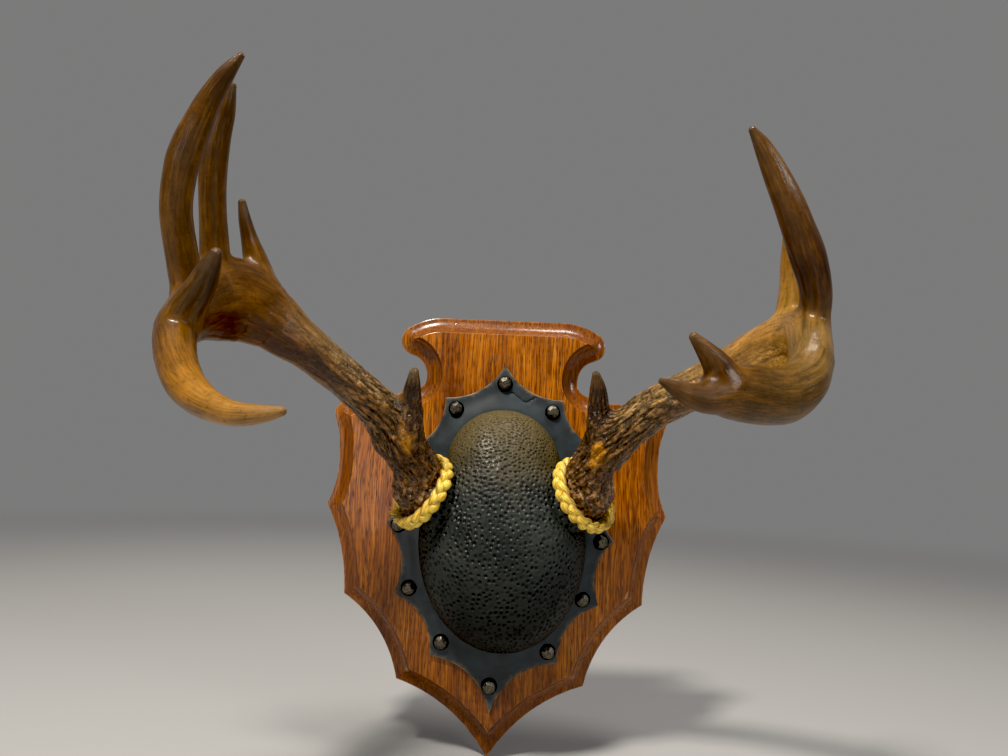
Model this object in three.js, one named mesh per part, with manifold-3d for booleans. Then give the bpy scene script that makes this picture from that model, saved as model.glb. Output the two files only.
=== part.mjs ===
// White-tailed deer antler plaque: a shaped wooden board with a coved edge, a moulded
// skull cover held by domed studs, a braided trim rope round each antler base, and two antlers.
// Millimetres. X runs to the viewer's right, Y into the wall, Z up.
// The origin is the middle of the board's flat back, which is the face that lies on the wall.
import * as THREE from 'three';
import Module from 'manifold-3d';
import * as BufferGeometryUtils from 'three/addons/utils/BufferGeometryUtils.js';

const wasm = await Module();
wasm.setup();

// ---------- driving sizes ----------
const GAP = 0.3;                 // clearance between touching pieces
const BOARD_T = 19.05;           // 3/4 in board
const COVE_R = 12.7;             // 1/2 in cove along the front edge
const BOARD_TOP = 160.5;         // half the height, 321 mm in all
const BOARD_TIP = -160.5;
const FLANGE_T = 2.8;            // skin of the skull cover where it lies on the board
const DOME_H = 50;               // height of the dome above the flange
const STUD_R = 5.5;              // domed stud heads, 7/16 in
const STUD_H = 4.6;
const ROPE_R = 24.8;             // middle of the rope ring
const ROPE_HALF = 5.1;           // half its thickness
const BEAM_SIDES = 12;
const TINE_SIDES = 10;

// right half of the board's outline, top centre to tip: x, z, and how far the edge that
// leads here bows out (+) or in (-) from straight
const BOARD_EDGE = [
  [0, BOARD_TOP, 0], [40, BOARD_TOP, 0], [70.5, 153.4, 2.4], [78, 142.5, 2.2], [71, 132.2, 2.2],
  [57.4, 116.4, -3.6], [65.5, 104.4, -3.0], [81, 99.4, 1.2], [97, 98.8, 0.6], [121.8, 91.6, 1.2],
  [125.8, 84, 1.0], [120.3, 55, -1.6], [126.9, 16.5, -2.6], [110.3, -48.5, -4.1],
  [68.4, -107.9, -7.5], [0, BOARD_TIP, -7.9],
];
// corners of the cover's flange, clockwise from the top: x, z, and the hollow of the edge
// that leads here
const FLANGE_EDGE = [
  [2.3, 124.3, -7.4], [46.5, 99.5, -7.4], [62.8, 70, -4], [86, -1.5, -6], [76, -47.4, -7.6],
  [47.5, -89.1, -8.7], [0.6, -125.5, -9.9], [-43.5, -87.1, -9.9], [-71.2, -44.9, -8.7],
  [-79.5, 6.3, -7.6], [-53.8, 67.6, -6], [-41.3, 98.3, -4],
];
const STUDS = {
  top: [2.3, 110.3], top_left: [-32.8, 90.3], top_right: [38.2, 90.5],
  side_left: [-70.8, 4.4], side_right: [76.7, -1.9], low_left: [-60.8, -40.2],
  low_right: [64, -43.2], base_left: [-35.9, -77], base_right: [40.6, -80.7], base: [-0.2, -106.2],
};

// ---------- antlers: stations along each limb ----------
// x, y, z of the middle, then half the section's depth along the limb's own reference
// direction and half its width across it
const RING = {
  left: { at: [-51.8, -50, 30], axis: [-0.74, -0.46, 0.49] },
  right: { at: [60.6, -50, 32.6], axis: [0.66, -0.58, 0.48] },
};
const UP = [0, 0, 1], OUT = [0, -1, 0];
const LIMBS = {
  left: {
    beam: [
      [-58.6, -64, 50.1, 16.2, 16], [-68.6, -77, 66.3, 16, 14.6], [-76.7, -88, 80.6, 14.6, 13.8],
      [-86.5, -99, 91, 13.2, 12.6], [-102, -113, 104, 13, 12], [-117.8, -127, 116.6, 13.8, 12],
      [-128.6, -136, 124, 16.2, 12.2], [-137.5, -143, 131, 19.2, 12.6], [-150.6, -158, 137.8, 23.9, 13],
      [-159.4, -177, 134, 22.3, 12.4], [-161.4, -197, 123.8, 16.4, 9.8], [-160.7, -215, 109.4, 12.6, 10.3],
      [-153.1, -230, 95.3, 10.2, 9.6], [-143, -243, 83.5, 9.2, 8.8], [-132.8, -253, 76.3, 7.9, 7.6],
      [-123.1, -261, 71.8, 6.7, 6.6], [-112.4, -268, 68.8, 5.6, 5.5], [-102.9, -273, 68.2, 4.6, 4.6],
      [-94.1, -277, 68.8, 3.4, 3.5], [-87.4, -280, 69.8, 2, 2],
    ],
    tines: {
      g3: [[-162.8, -200, 134.4, 10.5, 8.2], [-164, -206, 147.3, 10, 7.9], [-163.2, -221, 168.6, 8.8, 7.5],
        [-158.4, -231, 186.9, 8.4, 7.7], [-154.2, -235, 196.5, 8, 7.8], [-148.7, -239, 206.4, 7.4, 6.7],
        [-143.3, -242, 216.6, 6, 5.5], [-135.3, -245, 228.2, 4.4, 4], [-127.8, -247, 236.9, 1.9, 1.7]],
      g2: [[-160.1, -170, 145.1, 11, 8.6], [-160.4, -174, 156.9, 10, 8.1], [-159.5, -185, 180.7, 8.4, 7.1],
        [-157.6, -194, 198.6, 7.9, 7.2], [-153.4, -202, 215.8, 7, 6.6], [-148.9, -207, 227.9, 5.6, 5.3],
        [-145, -211, 239.6, 2.7, 2.5]],
      sticker: [[-143.2, -142, 148.1, 13, 10], [-146.9, -147, 163.5, 9.5, 7.3], [-149.8, -152, 175.2, 5.6, 5.1],
        [-151.9, -157, 186.1, 4, 3.6], [-153.1, -160, 194.6, 2.6, 2.4]],
      g4: [[-159.9, -213, 113.3, 11, 9.9], [-153.8, -220, 122.2, 9.5, 8.8], [-146.5, -226, 130.1, 7.8, 7.1],
        [-140.8, -232, 137.5, 6.2, 5.6], [-135.9, -237, 144.3, 3.4, 3.2]],
      brow: [[-62.2, -74, 60.7, 9.4, 9.6], [-59.3, -82, 74.4, 8.8, 8.9], [-58.8, -88, 87.3, 7.6, 7.6],
        [-57.5, -94, 97.2, 6, 5.7], [-56.2, -100, 107.7, 3.3, 3.1]],
    },
    splits: [5.5, 8.6, 13.6],     // forks, as places along the beam's stations
  },
  right: {
    beam: [
      [65.4, -64, 52.4, 16.2, 16], [73.6, -77, 67.4, 15.4, 14.8], [85, -88, 79.5, 14.2, 13.6],
      [98.6, -99, 91.4, 13.8, 13], [115.4, -114, 100.8, 13.2, 12.4], [127.8, -125, 107.6, 13.6, 12.2],
      [139.9, -137, 115, 14.6, 12.4], [151.7, -151, 121.6, 16.8, 12.8], [160.3, -168, 124.8, 19, 12.6],
      [160.9, -188, 122.7, 17.2, 11.3], [156.4, -204, 109.8, 12.8, 10.4], [148.3, -215, 98.1, 12.2, 11.5],
      [137.7, -223, 90.9, 13.6, 9.8], [127.1, -230, 88.8, 13.7, 9.4], [113, -239, 88.8, 13.7, 9.2],
      [99.3, -247, 87.9, 11.2, 8.4], [89.5, -252, 85.1, 7.1, 6.4], [81, -256, 86.2, 4.8, 4.6],
      [74.2, -259, 88.7, 3, 3.2], [69.4, -261, 90.6, 1.5, 1.8],
    ],
    tines: {
      g3: [[162.2, -187, 129.9, 11.5, 9.2], [162.2, -195, 141.3, 10, 7.8], [158.9, -202, 151.7, 9.2, 8.1],
        [152.4, -209, 164.3, 9, 9], [145.2, -215, 176.7, 8.4, 8.1], [138.6, -220, 187.6, 7.6, 7.4],
        [130.6, -225, 199.7, 6.4, 6.2], [122.4, -230, 211, 4.5, 4.1], [116.5, -233, 217.6, 2, 1.9]],
      g2: [[162, -163, 141.4, 10.5, 9.2], [161.4, -168, 155.1, 10, 7.9], [159.6, -174, 169.5, 8.8, 7.6],
        [157.2, -181, 184.4, 7.6, 6.6], [152.6, -188, 198.2, 6.4, 5.6], [146, -194, 209.6, 4.6, 4.1],
        [139.6, -198, 218, 2.3, 2.1]],
      g4: [[101.8, -246, 92.2, 8, 9], [95.6, -250, 100.5, 6.4, 6.5], [89.3, -254, 106.4, 4.6, 4.2],
        [83.6, -258, 110.8, 2.3, 2.3]],
      brow: [[70.1, -74, 63.5, 9.2, 9.2], [66.1, -82, 76.4, 8.6, 8.9], [64, -88, 89.7, 7.2, 7.4],
        [62.6, -94, 101.6, 5.8, 5.8], [60.4, -100, 110.3, 3, 3]],
    },
    splits: [5.5, 8.6, 14.5],
  },
};

// ---------- solids and booleans ----------
function closed(positions, triangles) {
  let g = new THREE.BufferGeometry();
  g.setAttribute('position', new THREE.Float32BufferAttribute(positions, 3));
  g.setIndex(triangles);
  g = BufferGeometryUtils.mergeVertices(g, 1e-4);
  const idx = g.getIndex().array, keep = [];
  for (let i = 0; i < idx.length; i += 3) {
    const [a, b, c] = [idx[i], idx[i + 1], idx[i + 2]];
    if (a !== b && b !== c && c !== a) keep.push(a, b, c);
  }
  const p = g.getAttribute('position');
  const A = new THREE.Vector3(), B = new THREE.Vector3(), C = new THREE.Vector3();
  let vol = 0;
  for (let i = 0; i < keep.length; i += 3) {
    A.fromBufferAttribute(p, keep[i]); B.fromBufferAttribute(p, keep[i + 1]); C.fromBufferAttribute(p, keep[i + 2]);
    vol += A.dot(B.cross(C));
  }
  if (vol < 0) for (let i = 0; i < keep.length; i += 3) [keep[i + 1], keep[i + 2]] = [keep[i + 2], keep[i + 1]];
  g.setIndex(keep);
  return g;
}
function solid(g) {
  let h = g.clone();
  h.deleteAttribute('normal'); h.deleteAttribute('uv');
  h = BufferGeometryUtils.mergeVertices(h, 1e-4);
  return new wasm.Manifold(new wasm.Mesh({
    numProp: 3,
    vertProperties: new Float32Array(h.getAttribute('position').array),
    triVerts: new Uint32Array(h.getIndex().array),
  }));
}
function geometry(m) {
  const mesh = m.getMesh();
  const g = new THREE.BufferGeometry();
  g.setAttribute('position', new THREE.BufferAttribute(new Float32Array(mesh.vertProperties), 3));
  g.setIndex(new THREE.BufferAttribute(new Uint32Array(mesh.triVerts), 1));
  return g;
}
function biggest(m) {
  // slivers left by the cuts are merged away, and crumbs dropped
  return m.decompose().sort((a, b) => b.volume() - a.volume())[0].asOriginal().simplify(0.03);
}
function loft(rings, first = true, last = true) {
  // rings: arrays of Vector3 with the same number of points; both ends are closed by their own outline
  const pos = [], tri = [], n = rings[0].length;
  for (const r of rings) for (const p of r) pos.push(p.x, p.y, p.z);
  for (let k = 0; k + 1 < rings.length; k++) {
    for (let i = 0; i < n; i++) {
      const a = k * n + i, b = k * n + (i + 1) % n, c = a + n, d = b + n;
      tri.push(a, b, d, a, d, c);
    }
  }
  const cap = (k, flip) => {
    const r = rings[k], c = new THREE.Vector3();
    r.forEach(p => c.add(p)); c.divideScalar(n);
    const id = pos.length / 3;
    pos.push(c.x, c.y, c.z);
    for (let i = 0; i < n; i++) {
      const a = k * n + i, b = k * n + (i + 1) % n;
      if (flip) tri.push(id, b, a); else tri.push(id, a, b);
    }
  };
  if (first) cap(0, true);
  if (last) cap(rings.length - 1, false);
  return { pos, tri };
}

// ---------- outlines in the board's plane ----------
function bowed(corners, step) {
  // corners as x, z, bow of the edge leading there; returns points along the closed outline
  const out = [];
  for (let i = 0; i < corners.length; i++) {
    const a = corners[i], b = corners[(i + 1) % corners.length], s = b[2];
    const dx = b[0] - a[0], dz = b[1] - a[1], len = Math.hypot(dx, dz);
    if (len < 1e-6) continue;
    const n = s === 0 ? 1 : Math.max(1, Math.round(len / step));
    for (let k = 0; k < n; k++) {
      const t = k / n, h = 4 * s * t * (1 - t);
      // clockwise outline: the outward side is to the left of the direction of travel
      out.push(new THREE.Vector2(a[0] + dx * t - dz / len * h, a[1] + dz * t + dx / len * h));
    }
  }
  return out;
}
function toPolygon(p, pts) {
  let best = 1e9;
  for (let i = 0; i < pts.length; i++) {
    const a = pts[i], b = pts[(i + 1) % pts.length];
    const ab = b.clone().sub(a), t = THREE.MathUtils.clamp(p.clone().sub(a).dot(ab) / ab.lengthSq(), 0, 1);
    best = Math.min(best, p.distanceTo(a.clone().addScaledVector(ab, t)));
  }
  return best;
}
function inset(pts, d) {
  // every point moves inward by d; points that would fold over a neighbour are spread
  // along the straight line between the last good ones
  if (d === 0) return pts.map(p => p.clone());
  const n = pts.length;
  const q = pts.map((b, i) => {
    const a = pts[(i + n - 1) % n], c = pts[(i + 1) % n];
    const e = b.clone().sub(a).normalize(), f = c.clone().sub(b).normalize();
    const n1 = new THREE.Vector2(e.y, -e.x), n2 = new THREE.Vector2(f.y, -f.x);
    const m = n1.clone().add(n2).normalize();
    return b.clone().addScaledVector(m, d / Math.max(0.4, m.dot(n1)));
  });
  const good = q.map(p => toPolygon(p, pts) > d - 0.06 * d - 0.05);
  const start = good.indexOf(true);
  let i = start;
  do {
    const j = (i + 1) % n;
    if (!good[j]) {
      let k = j, run = 0;
      while (!good[k]) { k = (k + 1) % n; run++; }
      const v = q[k].clone().sub(q[i]), side = new THREE.Vector2(-v.y, v.x);
      for (let r = 0; r < run; r++) {
        const t = (r + 1) / (run + 1);
        q[(j + r) % n] = q[i].clone().addScaledVector(v, t).addScaledVector(side, 0.02 * t * (1 - t));
      }
      i = k;
    } else i = j;
  } while (i !== start);
  return q;
}
function plate(outline, levels) {
  // levels: y and how far the outline is set in there
  const rings = levels.map(([y, d]) => inset(outline, d).map(p => new THREE.Vector3(p.x, y, p.y)));
  const { pos, tri } = loft(rings, false, false);
  const n = outline.length;
  for (const [k, flip] of [[0, true], [rings.length - 1, false]]) {
    const flat = rings[k].map(p => new THREE.Vector2(p.x, p.z));
    const whole = Math.sign(THREE.ShapeUtils.area(flat));
    for (const f of THREE.ShapeUtils.triangulateShape(flat, [])) {
      const same = Math.sign(THREE.ShapeUtils.area(f.map(v => flat[v]))) === whole;
      const [a, b, c] = f.map(v => k * n + v);
      if (same !== flip) tri.push(a, b, c); else tri.push(a, c, b);
    }
  }
  return closed(pos, tri);
}

// ---------- limbs ----------
function spline(rows, t) {
  const n = rows.length, i = Math.min(Math.max(Math.floor(t), 0), n - 2), u = t - i;
  const g = k => rows[Math.min(Math.max(k, 0), n - 1)];
  const [a, b, c, d] = [i > 0 ? g(i - 1) : g(0).map((v, k) => 2 * v - g(1)[k]), g(i), g(i + 1),
    i + 2 < n ? g(i + 2) : g(n - 1).map((v, k) => 2 * v - g(n - 2)[k])];
  return b.map((_, k) => 0.5 * (2 * b[k] + (c[k] - a[k]) * u
    + (2 * a[k] - 5 * b[k] + 4 * c[k] - d[k]) * u * u + (3 * b[k] - a[k] - 3 * c[k] + d[k]) * u * u * u));
}
function section(rows, t, ref, sides, grow) {
  const s = spline(rows, t), e = 1e-3, n = rows.length - 1;
  const p = spline(rows, Math.max(0, t - e)), q = spline(rows, Math.min(n, t + e));
  const T = new THREE.Vector3(q[0] - p[0], q[1] - p[1], q[2] - p[2]).normalize();
  const A = new THREE.Vector3(...ref).addScaledVector(T, -T.dot(new THREE.Vector3(...ref))).normalize();
  const B = T.clone().cross(A);
  const c = new THREE.Vector3(s[0], s[1], s[2]);
  const ring = [];
  for (let k = 0; k < sides; k++) {
    const f = 2 * Math.PI * k / sides;
    ring.push(c.clone().addScaledVector(A, (s[3] + grow) * Math.cos(f)).addScaledVector(B, (s[4] + grow) * Math.sin(f)));
  }
  return { ring, T, c, r: Math.min(s[3], s[4]) + grow };
}
function places(from, to, per) {
  const steps = Math.max(2, Math.round((to - from) * per));
  return Array.from({ length: steps + 1 }, (_, k) => from + (to - from) * k / steps);
}
function limb(rows, ref, { at = places(0, rows.length - 1, 1.2), sides = TINE_SIDES, grow = 0, blunt = true } = {}) {
  const rings = [], to = at[at.length - 1];
  let tip;
  for (const t of at) {
    tip = section(rows, t, ref, sides, grow);
    rings.push(tip.ring);
  }
  if (blunt && to >= rows.length - 1) {
    // rounded end
    for (const a of [0.55, 1.05]) {
      const h = tip.r * Math.sin(a), w = Math.cos(a);
      rings.push(tip.ring.map(p => tip.c.clone().add(p.clone().sub(tip.c).multiplyScalar(w)).addScaledVector(tip.T, h)));
    }
  }
  const { pos, tri } = loft(rings);
  return closed(pos, tri);
}
function along(rows, t, mm) {
  // moves a place on the limb by a length in millimetres
  const p = spline(rows, t - 0.01), q = spline(rows, t + 0.01);
  return t + mm * 0.02 / Math.hypot(q[0] - p[0], q[1] - p[1], q[2] - p[2]);
}

// ---------- finishes ----------
const finish = {
  oak: { color: 0x8a4420, roughness: 0.32, metalness: 0 },
  cover: { color: 0x23282b, roughness: 0.5, metalness: 0 },
  pewter: { color: 0x4b4742, roughness: 0.42, metalness: 0.85 },
  braid: { color: 0xc9982f, roughness: 0.5, metalness: 0 },
  antler: { color: 0x6b4524, roughness: 0.3, metalness: 0 },
  burr: { color: 0x3d2413, roughness: 0.4, metalness: 0 },
  tine: { color: 0x7d6a4a, roughness: 0.28, metalness: 0 },
};
const mount = new THREE.Group();
mount.name = 'deer_antler_plaque_mount';
function add(parent, name, geo, look) {
  const g = geo.index && !geo.attributes.normal ? geo.toNonIndexed() : geo;
  g.computeVertexNormals();
  const mesh = new THREE.Mesh(g, new THREE.MeshStandardMaterial({ ...finish[look], flatShading: true }));
  mesh.name = name;
  parent.add(mesh);
  return mesh;
}

// ---------- board ----------
const half = BOARD_EDGE;
const boardCorners = [...half];
for (let i = half.length - 2; i > 0; i--) boardCorners.push([-half[i][0], half[i][1], half[i + 1][2]]);
boardCorners[0] = [0, BOARD_TOP, 0];
const boardOutline = bowed(boardCorners, 9);
const coveLevels = [[0, 0], [-(BOARD_T - COVE_R), 0]];
const COVE_STEPS = 4;
for (let k = 1; k <= COVE_STEPS; k++) {
  const a = Math.PI / 2 * (1 - k / COVE_STEPS);
  coveLevels.push([-BOARD_T + COVE_R * Math.sin(a), COVE_R * Math.cos(a)]);
}
add(mount, 'board', plate(boardOutline, coveLevels), 'oak');

// ---------- antlers ----------
const beams = {}, bases = {};
for (const side of ['left', 'right']) {
  const { at, axis } = RING[side], L = LIMBS[side];
  const group = new THREE.Group();
  group.name = `antler_${side}`;
  mount.add(group);
  const back = (mm, a, b) => [at[0] + axis[0] * mm, at[1] + axis[1] * mm, at[2] + axis[2] * mm, a, b];
  const turn = [0, 1, 2].map(k => at[k] + 0.32 * (L.beam[0][k] - at[k]) + axis[k] * 1.5);
  const rows = [back(-22, 12.5, 12.5), back(-9, 16.6, 16.6), [...turn, 18.8, 18.6], ...L.beam];
  beams[side] = rows;
  const cuts = [0, ...L.splits, rows.length - 1];
  const names = ['base', 'mid', 'palm', 'hook'];
  const stops = names.map((nm, k) => places(cuts[k], cuts[k + 1], k === 2 ? 1.5 : 1.2));
  const whole = [0, ...stops.flatMap(s => s.slice(1))];
  const wide = solid(limb(rows, UP, { at: whole, sides: BEAM_SIDES, grow: GAP + 0.1 }));
  bases[side] = solid(limb(rows, UP, { at: stops[0], sides: BEAM_SIDES, grow: GAP + 0.3, blunt: false }));
  names.forEach((nm, k) => {
    const at = [...stops[k]];
    at[0] = along(rows, at[0] || 0.02, k ? GAP / 2 : GAP);
    if (k < 3) at[at.length - 1] = along(rows, at[at.length - 1], -GAP / 2);
    add(group, `antler_${side}_${nm}`, limb(rows, UP, { at, sides: BEAM_SIDES }), k ? 'antler' : 'burr');
  });
  const done = [];
  for (const [nm, stations] of Object.entries(L.tines)) {
    let m = solid(limb(stations, OUT)).subtract(wide);
    for (const other of done) m = m.subtract(other);
    m = biggest(m);
    done.push(solid(limb(stations, OUT, { grow: GAP + 0.1 })));
    add(group, `antler_${side}_${nm}`, geometry(m), 'tine');
  }
}

// ---------- rope rings ----------
const ropeCuts = [];
for (const side of ['left', 'right']) {
  const { at, axis } = RING[side];
  const turn = new THREE.Quaternion().setFromUnitVectors(new THREE.Vector3(0, 0, 1), new THREE.Vector3(...axis).normalize());
  const ring = half => {
    const g = new THREE.TorusGeometry(ROPE_R, half, 8, 30);
    g.applyQuaternion(turn); g.translate(...at);
    return g;
  };
  add(mount, `rope_${side}`, geometry(biggest(solid(ring(ROPE_HALF)).subtract(bases[side]))), 'braid');
  ropeCuts.push(solid(ring(ROPE_HALF + GAP)));
}

// ---------- skull cover ----------
const flange = solid(plate(bowed(FLANGE_EDGE, 12), [
  [-BOARD_T - GAP, 0], [-BOARD_T - GAP - FLANGE_T + 0.6, 0], [-BOARD_T - GAP - FLANGE_T, 0.7],
]));
const DOME = { top: 90.5, bottom: -82, lobeR: 41.5, lobeZ: 49, lowW: 60, lowH: 76.5, lowZ: -5.5 };
const domeWidth = z => Math.max(
  Math.sqrt(Math.max(0, DOME.lobeR ** 2 - (z - DOME.lobeZ) ** 2)) * (z > 0 ? 1 : 0),
  DOME.lowW * Math.sqrt(Math.max(0, 1 - ((z - DOME.lowZ) / DOME.lowH) ** 2)));
const domeHeight = z => {
  const u = Math.abs((z - 4.25) / 86.25);
  return DOME_H * (1 - 0.12 * THREE.MathUtils.smoothstep(z, 0, 70)) * Math.pow(Math.max(0, 1 - u ** 2.4), 1 / 2.2);
};
const domeMiddle = z => 3 + 0.02 * (90 - z);
const domeRings = [];
const DOME_Z = 22, DOME_A = 16;
for (let i = 0; i <= DOME_Z; i++) {
  const z = 4.25 + 86.2 * Math.cos(Math.PI * (0.02 + 0.96 * i / DOME_Z));
  const w = domeWidth(z), h = domeHeight(z), c = domeMiddle(z), ring = [];
  for (let k = 0; k <= DOME_A; k++) {
    const a = Math.PI * k / DOME_A;
    const x = Math.sign(Math.cos(a)) * Math.abs(Math.cos(a)) ** 0.84, y = Math.abs(Math.sin(a)) ** 0.84;
    ring.push(new THREE.Vector3(c + w * x, -(BOARD_T + GAP + 1 + (FLANGE_T - 1) + h * y), z));
  }
  ring.push(new THREE.Vector3(c - w, -(BOARD_T + GAP + 1), z), new THREE.Vector3(c + w, -(BOARD_T + GAP + 1), z));
  domeRings.push(ring);
}
const domeLoft = loft(domeRings);
let cover = solid(closed(domeLoft.pos, domeLoft.tri)).add(flange);
for (const side of ['left', 'right']) {
  const { at, axis } = RING[side];
  const mid = side === 'left' ? -14 : 22;
  const boss = [[mid, -40, 12, 17, 17], [(mid + at[0]) / 2, -43, 20, 18.5, 18.5],
    [at[0] - axis[0] * 5, at[1] - axis[1] * 5, at[2] - axis[2] * 5, 19.6, 19.6],
    [at[0] - axis[0] * 1, at[1] - axis[1] * 1, at[2] - axis[2] * 1, 19.6, 19.6]];
  cover = cover.add(solid(limb(boss, UP, { at: places(0, 3, 2), sides: 16, blunt: false })));
}
for (const side of ['left', 'right']) cover = cover.subtract(bases[side]);
for (const r of ropeCuts) cover = cover.subtract(r);
add(mount, 'skull_cover', geometry(biggest(cover)), 'cover');

// ---------- studs ----------
const studProfile = [[0, 0], [STUD_R * 0.96, 0], [STUD_R, 0.9], [STUD_R * 0.86, STUD_H * 0.6], [STUD_R * 0.5, STUD_H * 0.93], [0, STUD_H]]
  .map(([r, h]) => new THREE.Vector2(r, h));
for (const [nm, [x, z]] of Object.entries(STUDS)) {
  const g = new THREE.LatheGeometry(studProfile, 10);
  g.rotateX(Math.PI);           // the lathe's axis ends up pointing out of the board
  g.translate(x, -(BOARD_T + FLANGE_T + 2 * GAP), z);
  add(mount, `stud_${nm}`, geometry(solid(g)), 'pewter');
}

let total = 0;
mount.traverse(o => { if (o.isMesh) total += (o.geometry.index ? o.geometry.index.count : o.geometry.attributes.position.count) / 3; });
console.error(`triangles ${total}`);

export default mount;
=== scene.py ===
# White-tailed deer antler plaque: a varnished, coved board, a moulded skull cover with a
# pebbled dome, hammered stud heads, plaited gold trim round each antler base, and two
# lacquered antlers. Sizes below are millimetres in the row frame: X to the viewer's right,
# Y into the wall, Z up, origin at the middle of the board's flat back.
import math
import bpy
import bmesh
import numpy as np
from mathutils import Matrix, Vector
from mathutils.geometry import delaunay_2d_cdt
from mathutils.kdtree import KDTree


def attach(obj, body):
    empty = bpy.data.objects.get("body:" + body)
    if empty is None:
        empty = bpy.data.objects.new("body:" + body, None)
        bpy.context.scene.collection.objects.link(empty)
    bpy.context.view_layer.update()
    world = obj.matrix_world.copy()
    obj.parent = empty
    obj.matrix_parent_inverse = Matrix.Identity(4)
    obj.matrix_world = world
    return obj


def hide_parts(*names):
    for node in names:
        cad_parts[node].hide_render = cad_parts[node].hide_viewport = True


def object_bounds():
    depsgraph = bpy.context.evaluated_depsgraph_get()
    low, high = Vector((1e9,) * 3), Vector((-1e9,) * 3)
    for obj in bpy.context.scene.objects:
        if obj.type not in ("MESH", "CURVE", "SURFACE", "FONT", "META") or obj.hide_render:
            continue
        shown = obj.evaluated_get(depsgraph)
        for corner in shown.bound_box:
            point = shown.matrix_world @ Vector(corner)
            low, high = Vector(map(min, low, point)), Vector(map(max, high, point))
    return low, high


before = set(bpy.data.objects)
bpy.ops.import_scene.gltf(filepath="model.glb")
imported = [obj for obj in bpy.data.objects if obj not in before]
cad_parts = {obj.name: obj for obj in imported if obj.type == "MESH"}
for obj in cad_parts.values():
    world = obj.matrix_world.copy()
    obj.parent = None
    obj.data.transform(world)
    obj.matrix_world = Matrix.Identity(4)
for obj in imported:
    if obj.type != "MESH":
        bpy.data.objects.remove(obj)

CAD_LO, CAD_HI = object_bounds()
MM = 0.001
scene = bpy.context.scene

# ---------- sizes ----------
GAP = 0.3
BOARD_T = 19.05
COVE_R = 12.7
FLANGE_T = 2.8
FLANGE_TOP = -(BOARD_T + GAP + FLANGE_T)
DOME_H = 50.0
STUD_R, STUD_H = 5.75, 4.7
ROPE_R = 24.8
# right half of the board outline, top centre to tip: x, z, bow of the edge that leads here
BOARD_EDGE = [
    (0, 160.5, 0), (40, 160.5, 0), (70.5, 153.4, 2.4), (78, 142.5, 2.2), (71, 132.2, 2.2),
    (57.4, 116.4, -3.6), (65.5, 104.4, -3), (81, 99.4, 1.2), (97, 98.8, 0.6), (121.8, 91.6, 1.2),
    (125.8, 84, 1), (120.3, 55, -1.6), (126.9, 16.5, -2.6), (110.3, -48.5, -4.1), (68.4, -107.9, -7.5),
    (0, -160.5, -7.9),
]
# corners of the cover flange, clockwise from the top: x, z, hollow of the edge that leads here
FLANGE_EDGE = [
    (2.3, 124.3, -7.4), (46.5, 99.5, -7.4), (62.8, 70, -4), (86, -1.5, -6), (76, -47.4, -7.6),
    (47.5, -89.1, -8.7), (0.6, -125.5, -9.9), (-43.5, -87.1, -9.9), (-71.2, -44.9, -8.7),
    (-79.5, 6.3, -7.6), (-53.8, 67.6, -6), (-41.3, 98.3, -4),
]
STUDS = {
    "top": (2.3, 110.3),
    "top_left": (-32.8, 90.3),
    "top_right": (38.2, 90.5),
    "side_left": (-70.8, 4.4),
    "side_right": (76.7, -1.9),
    "low_left": (-60.8, -40.2),
    "low_right": (64, -43.2),
    "base_left": (-35.9, -77),
    "base_right": (40.6, -80.7),
    "base": (-0.2, -106.2),
}
RING = {
    "left": {"at": (-51.8, -50, 30), "axis": (-0.74, -0.46, 0.49)},
    "right": {"at": (60.6, -50, 32.6), "axis": (0.66, -0.58, 0.48)},
}
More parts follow.
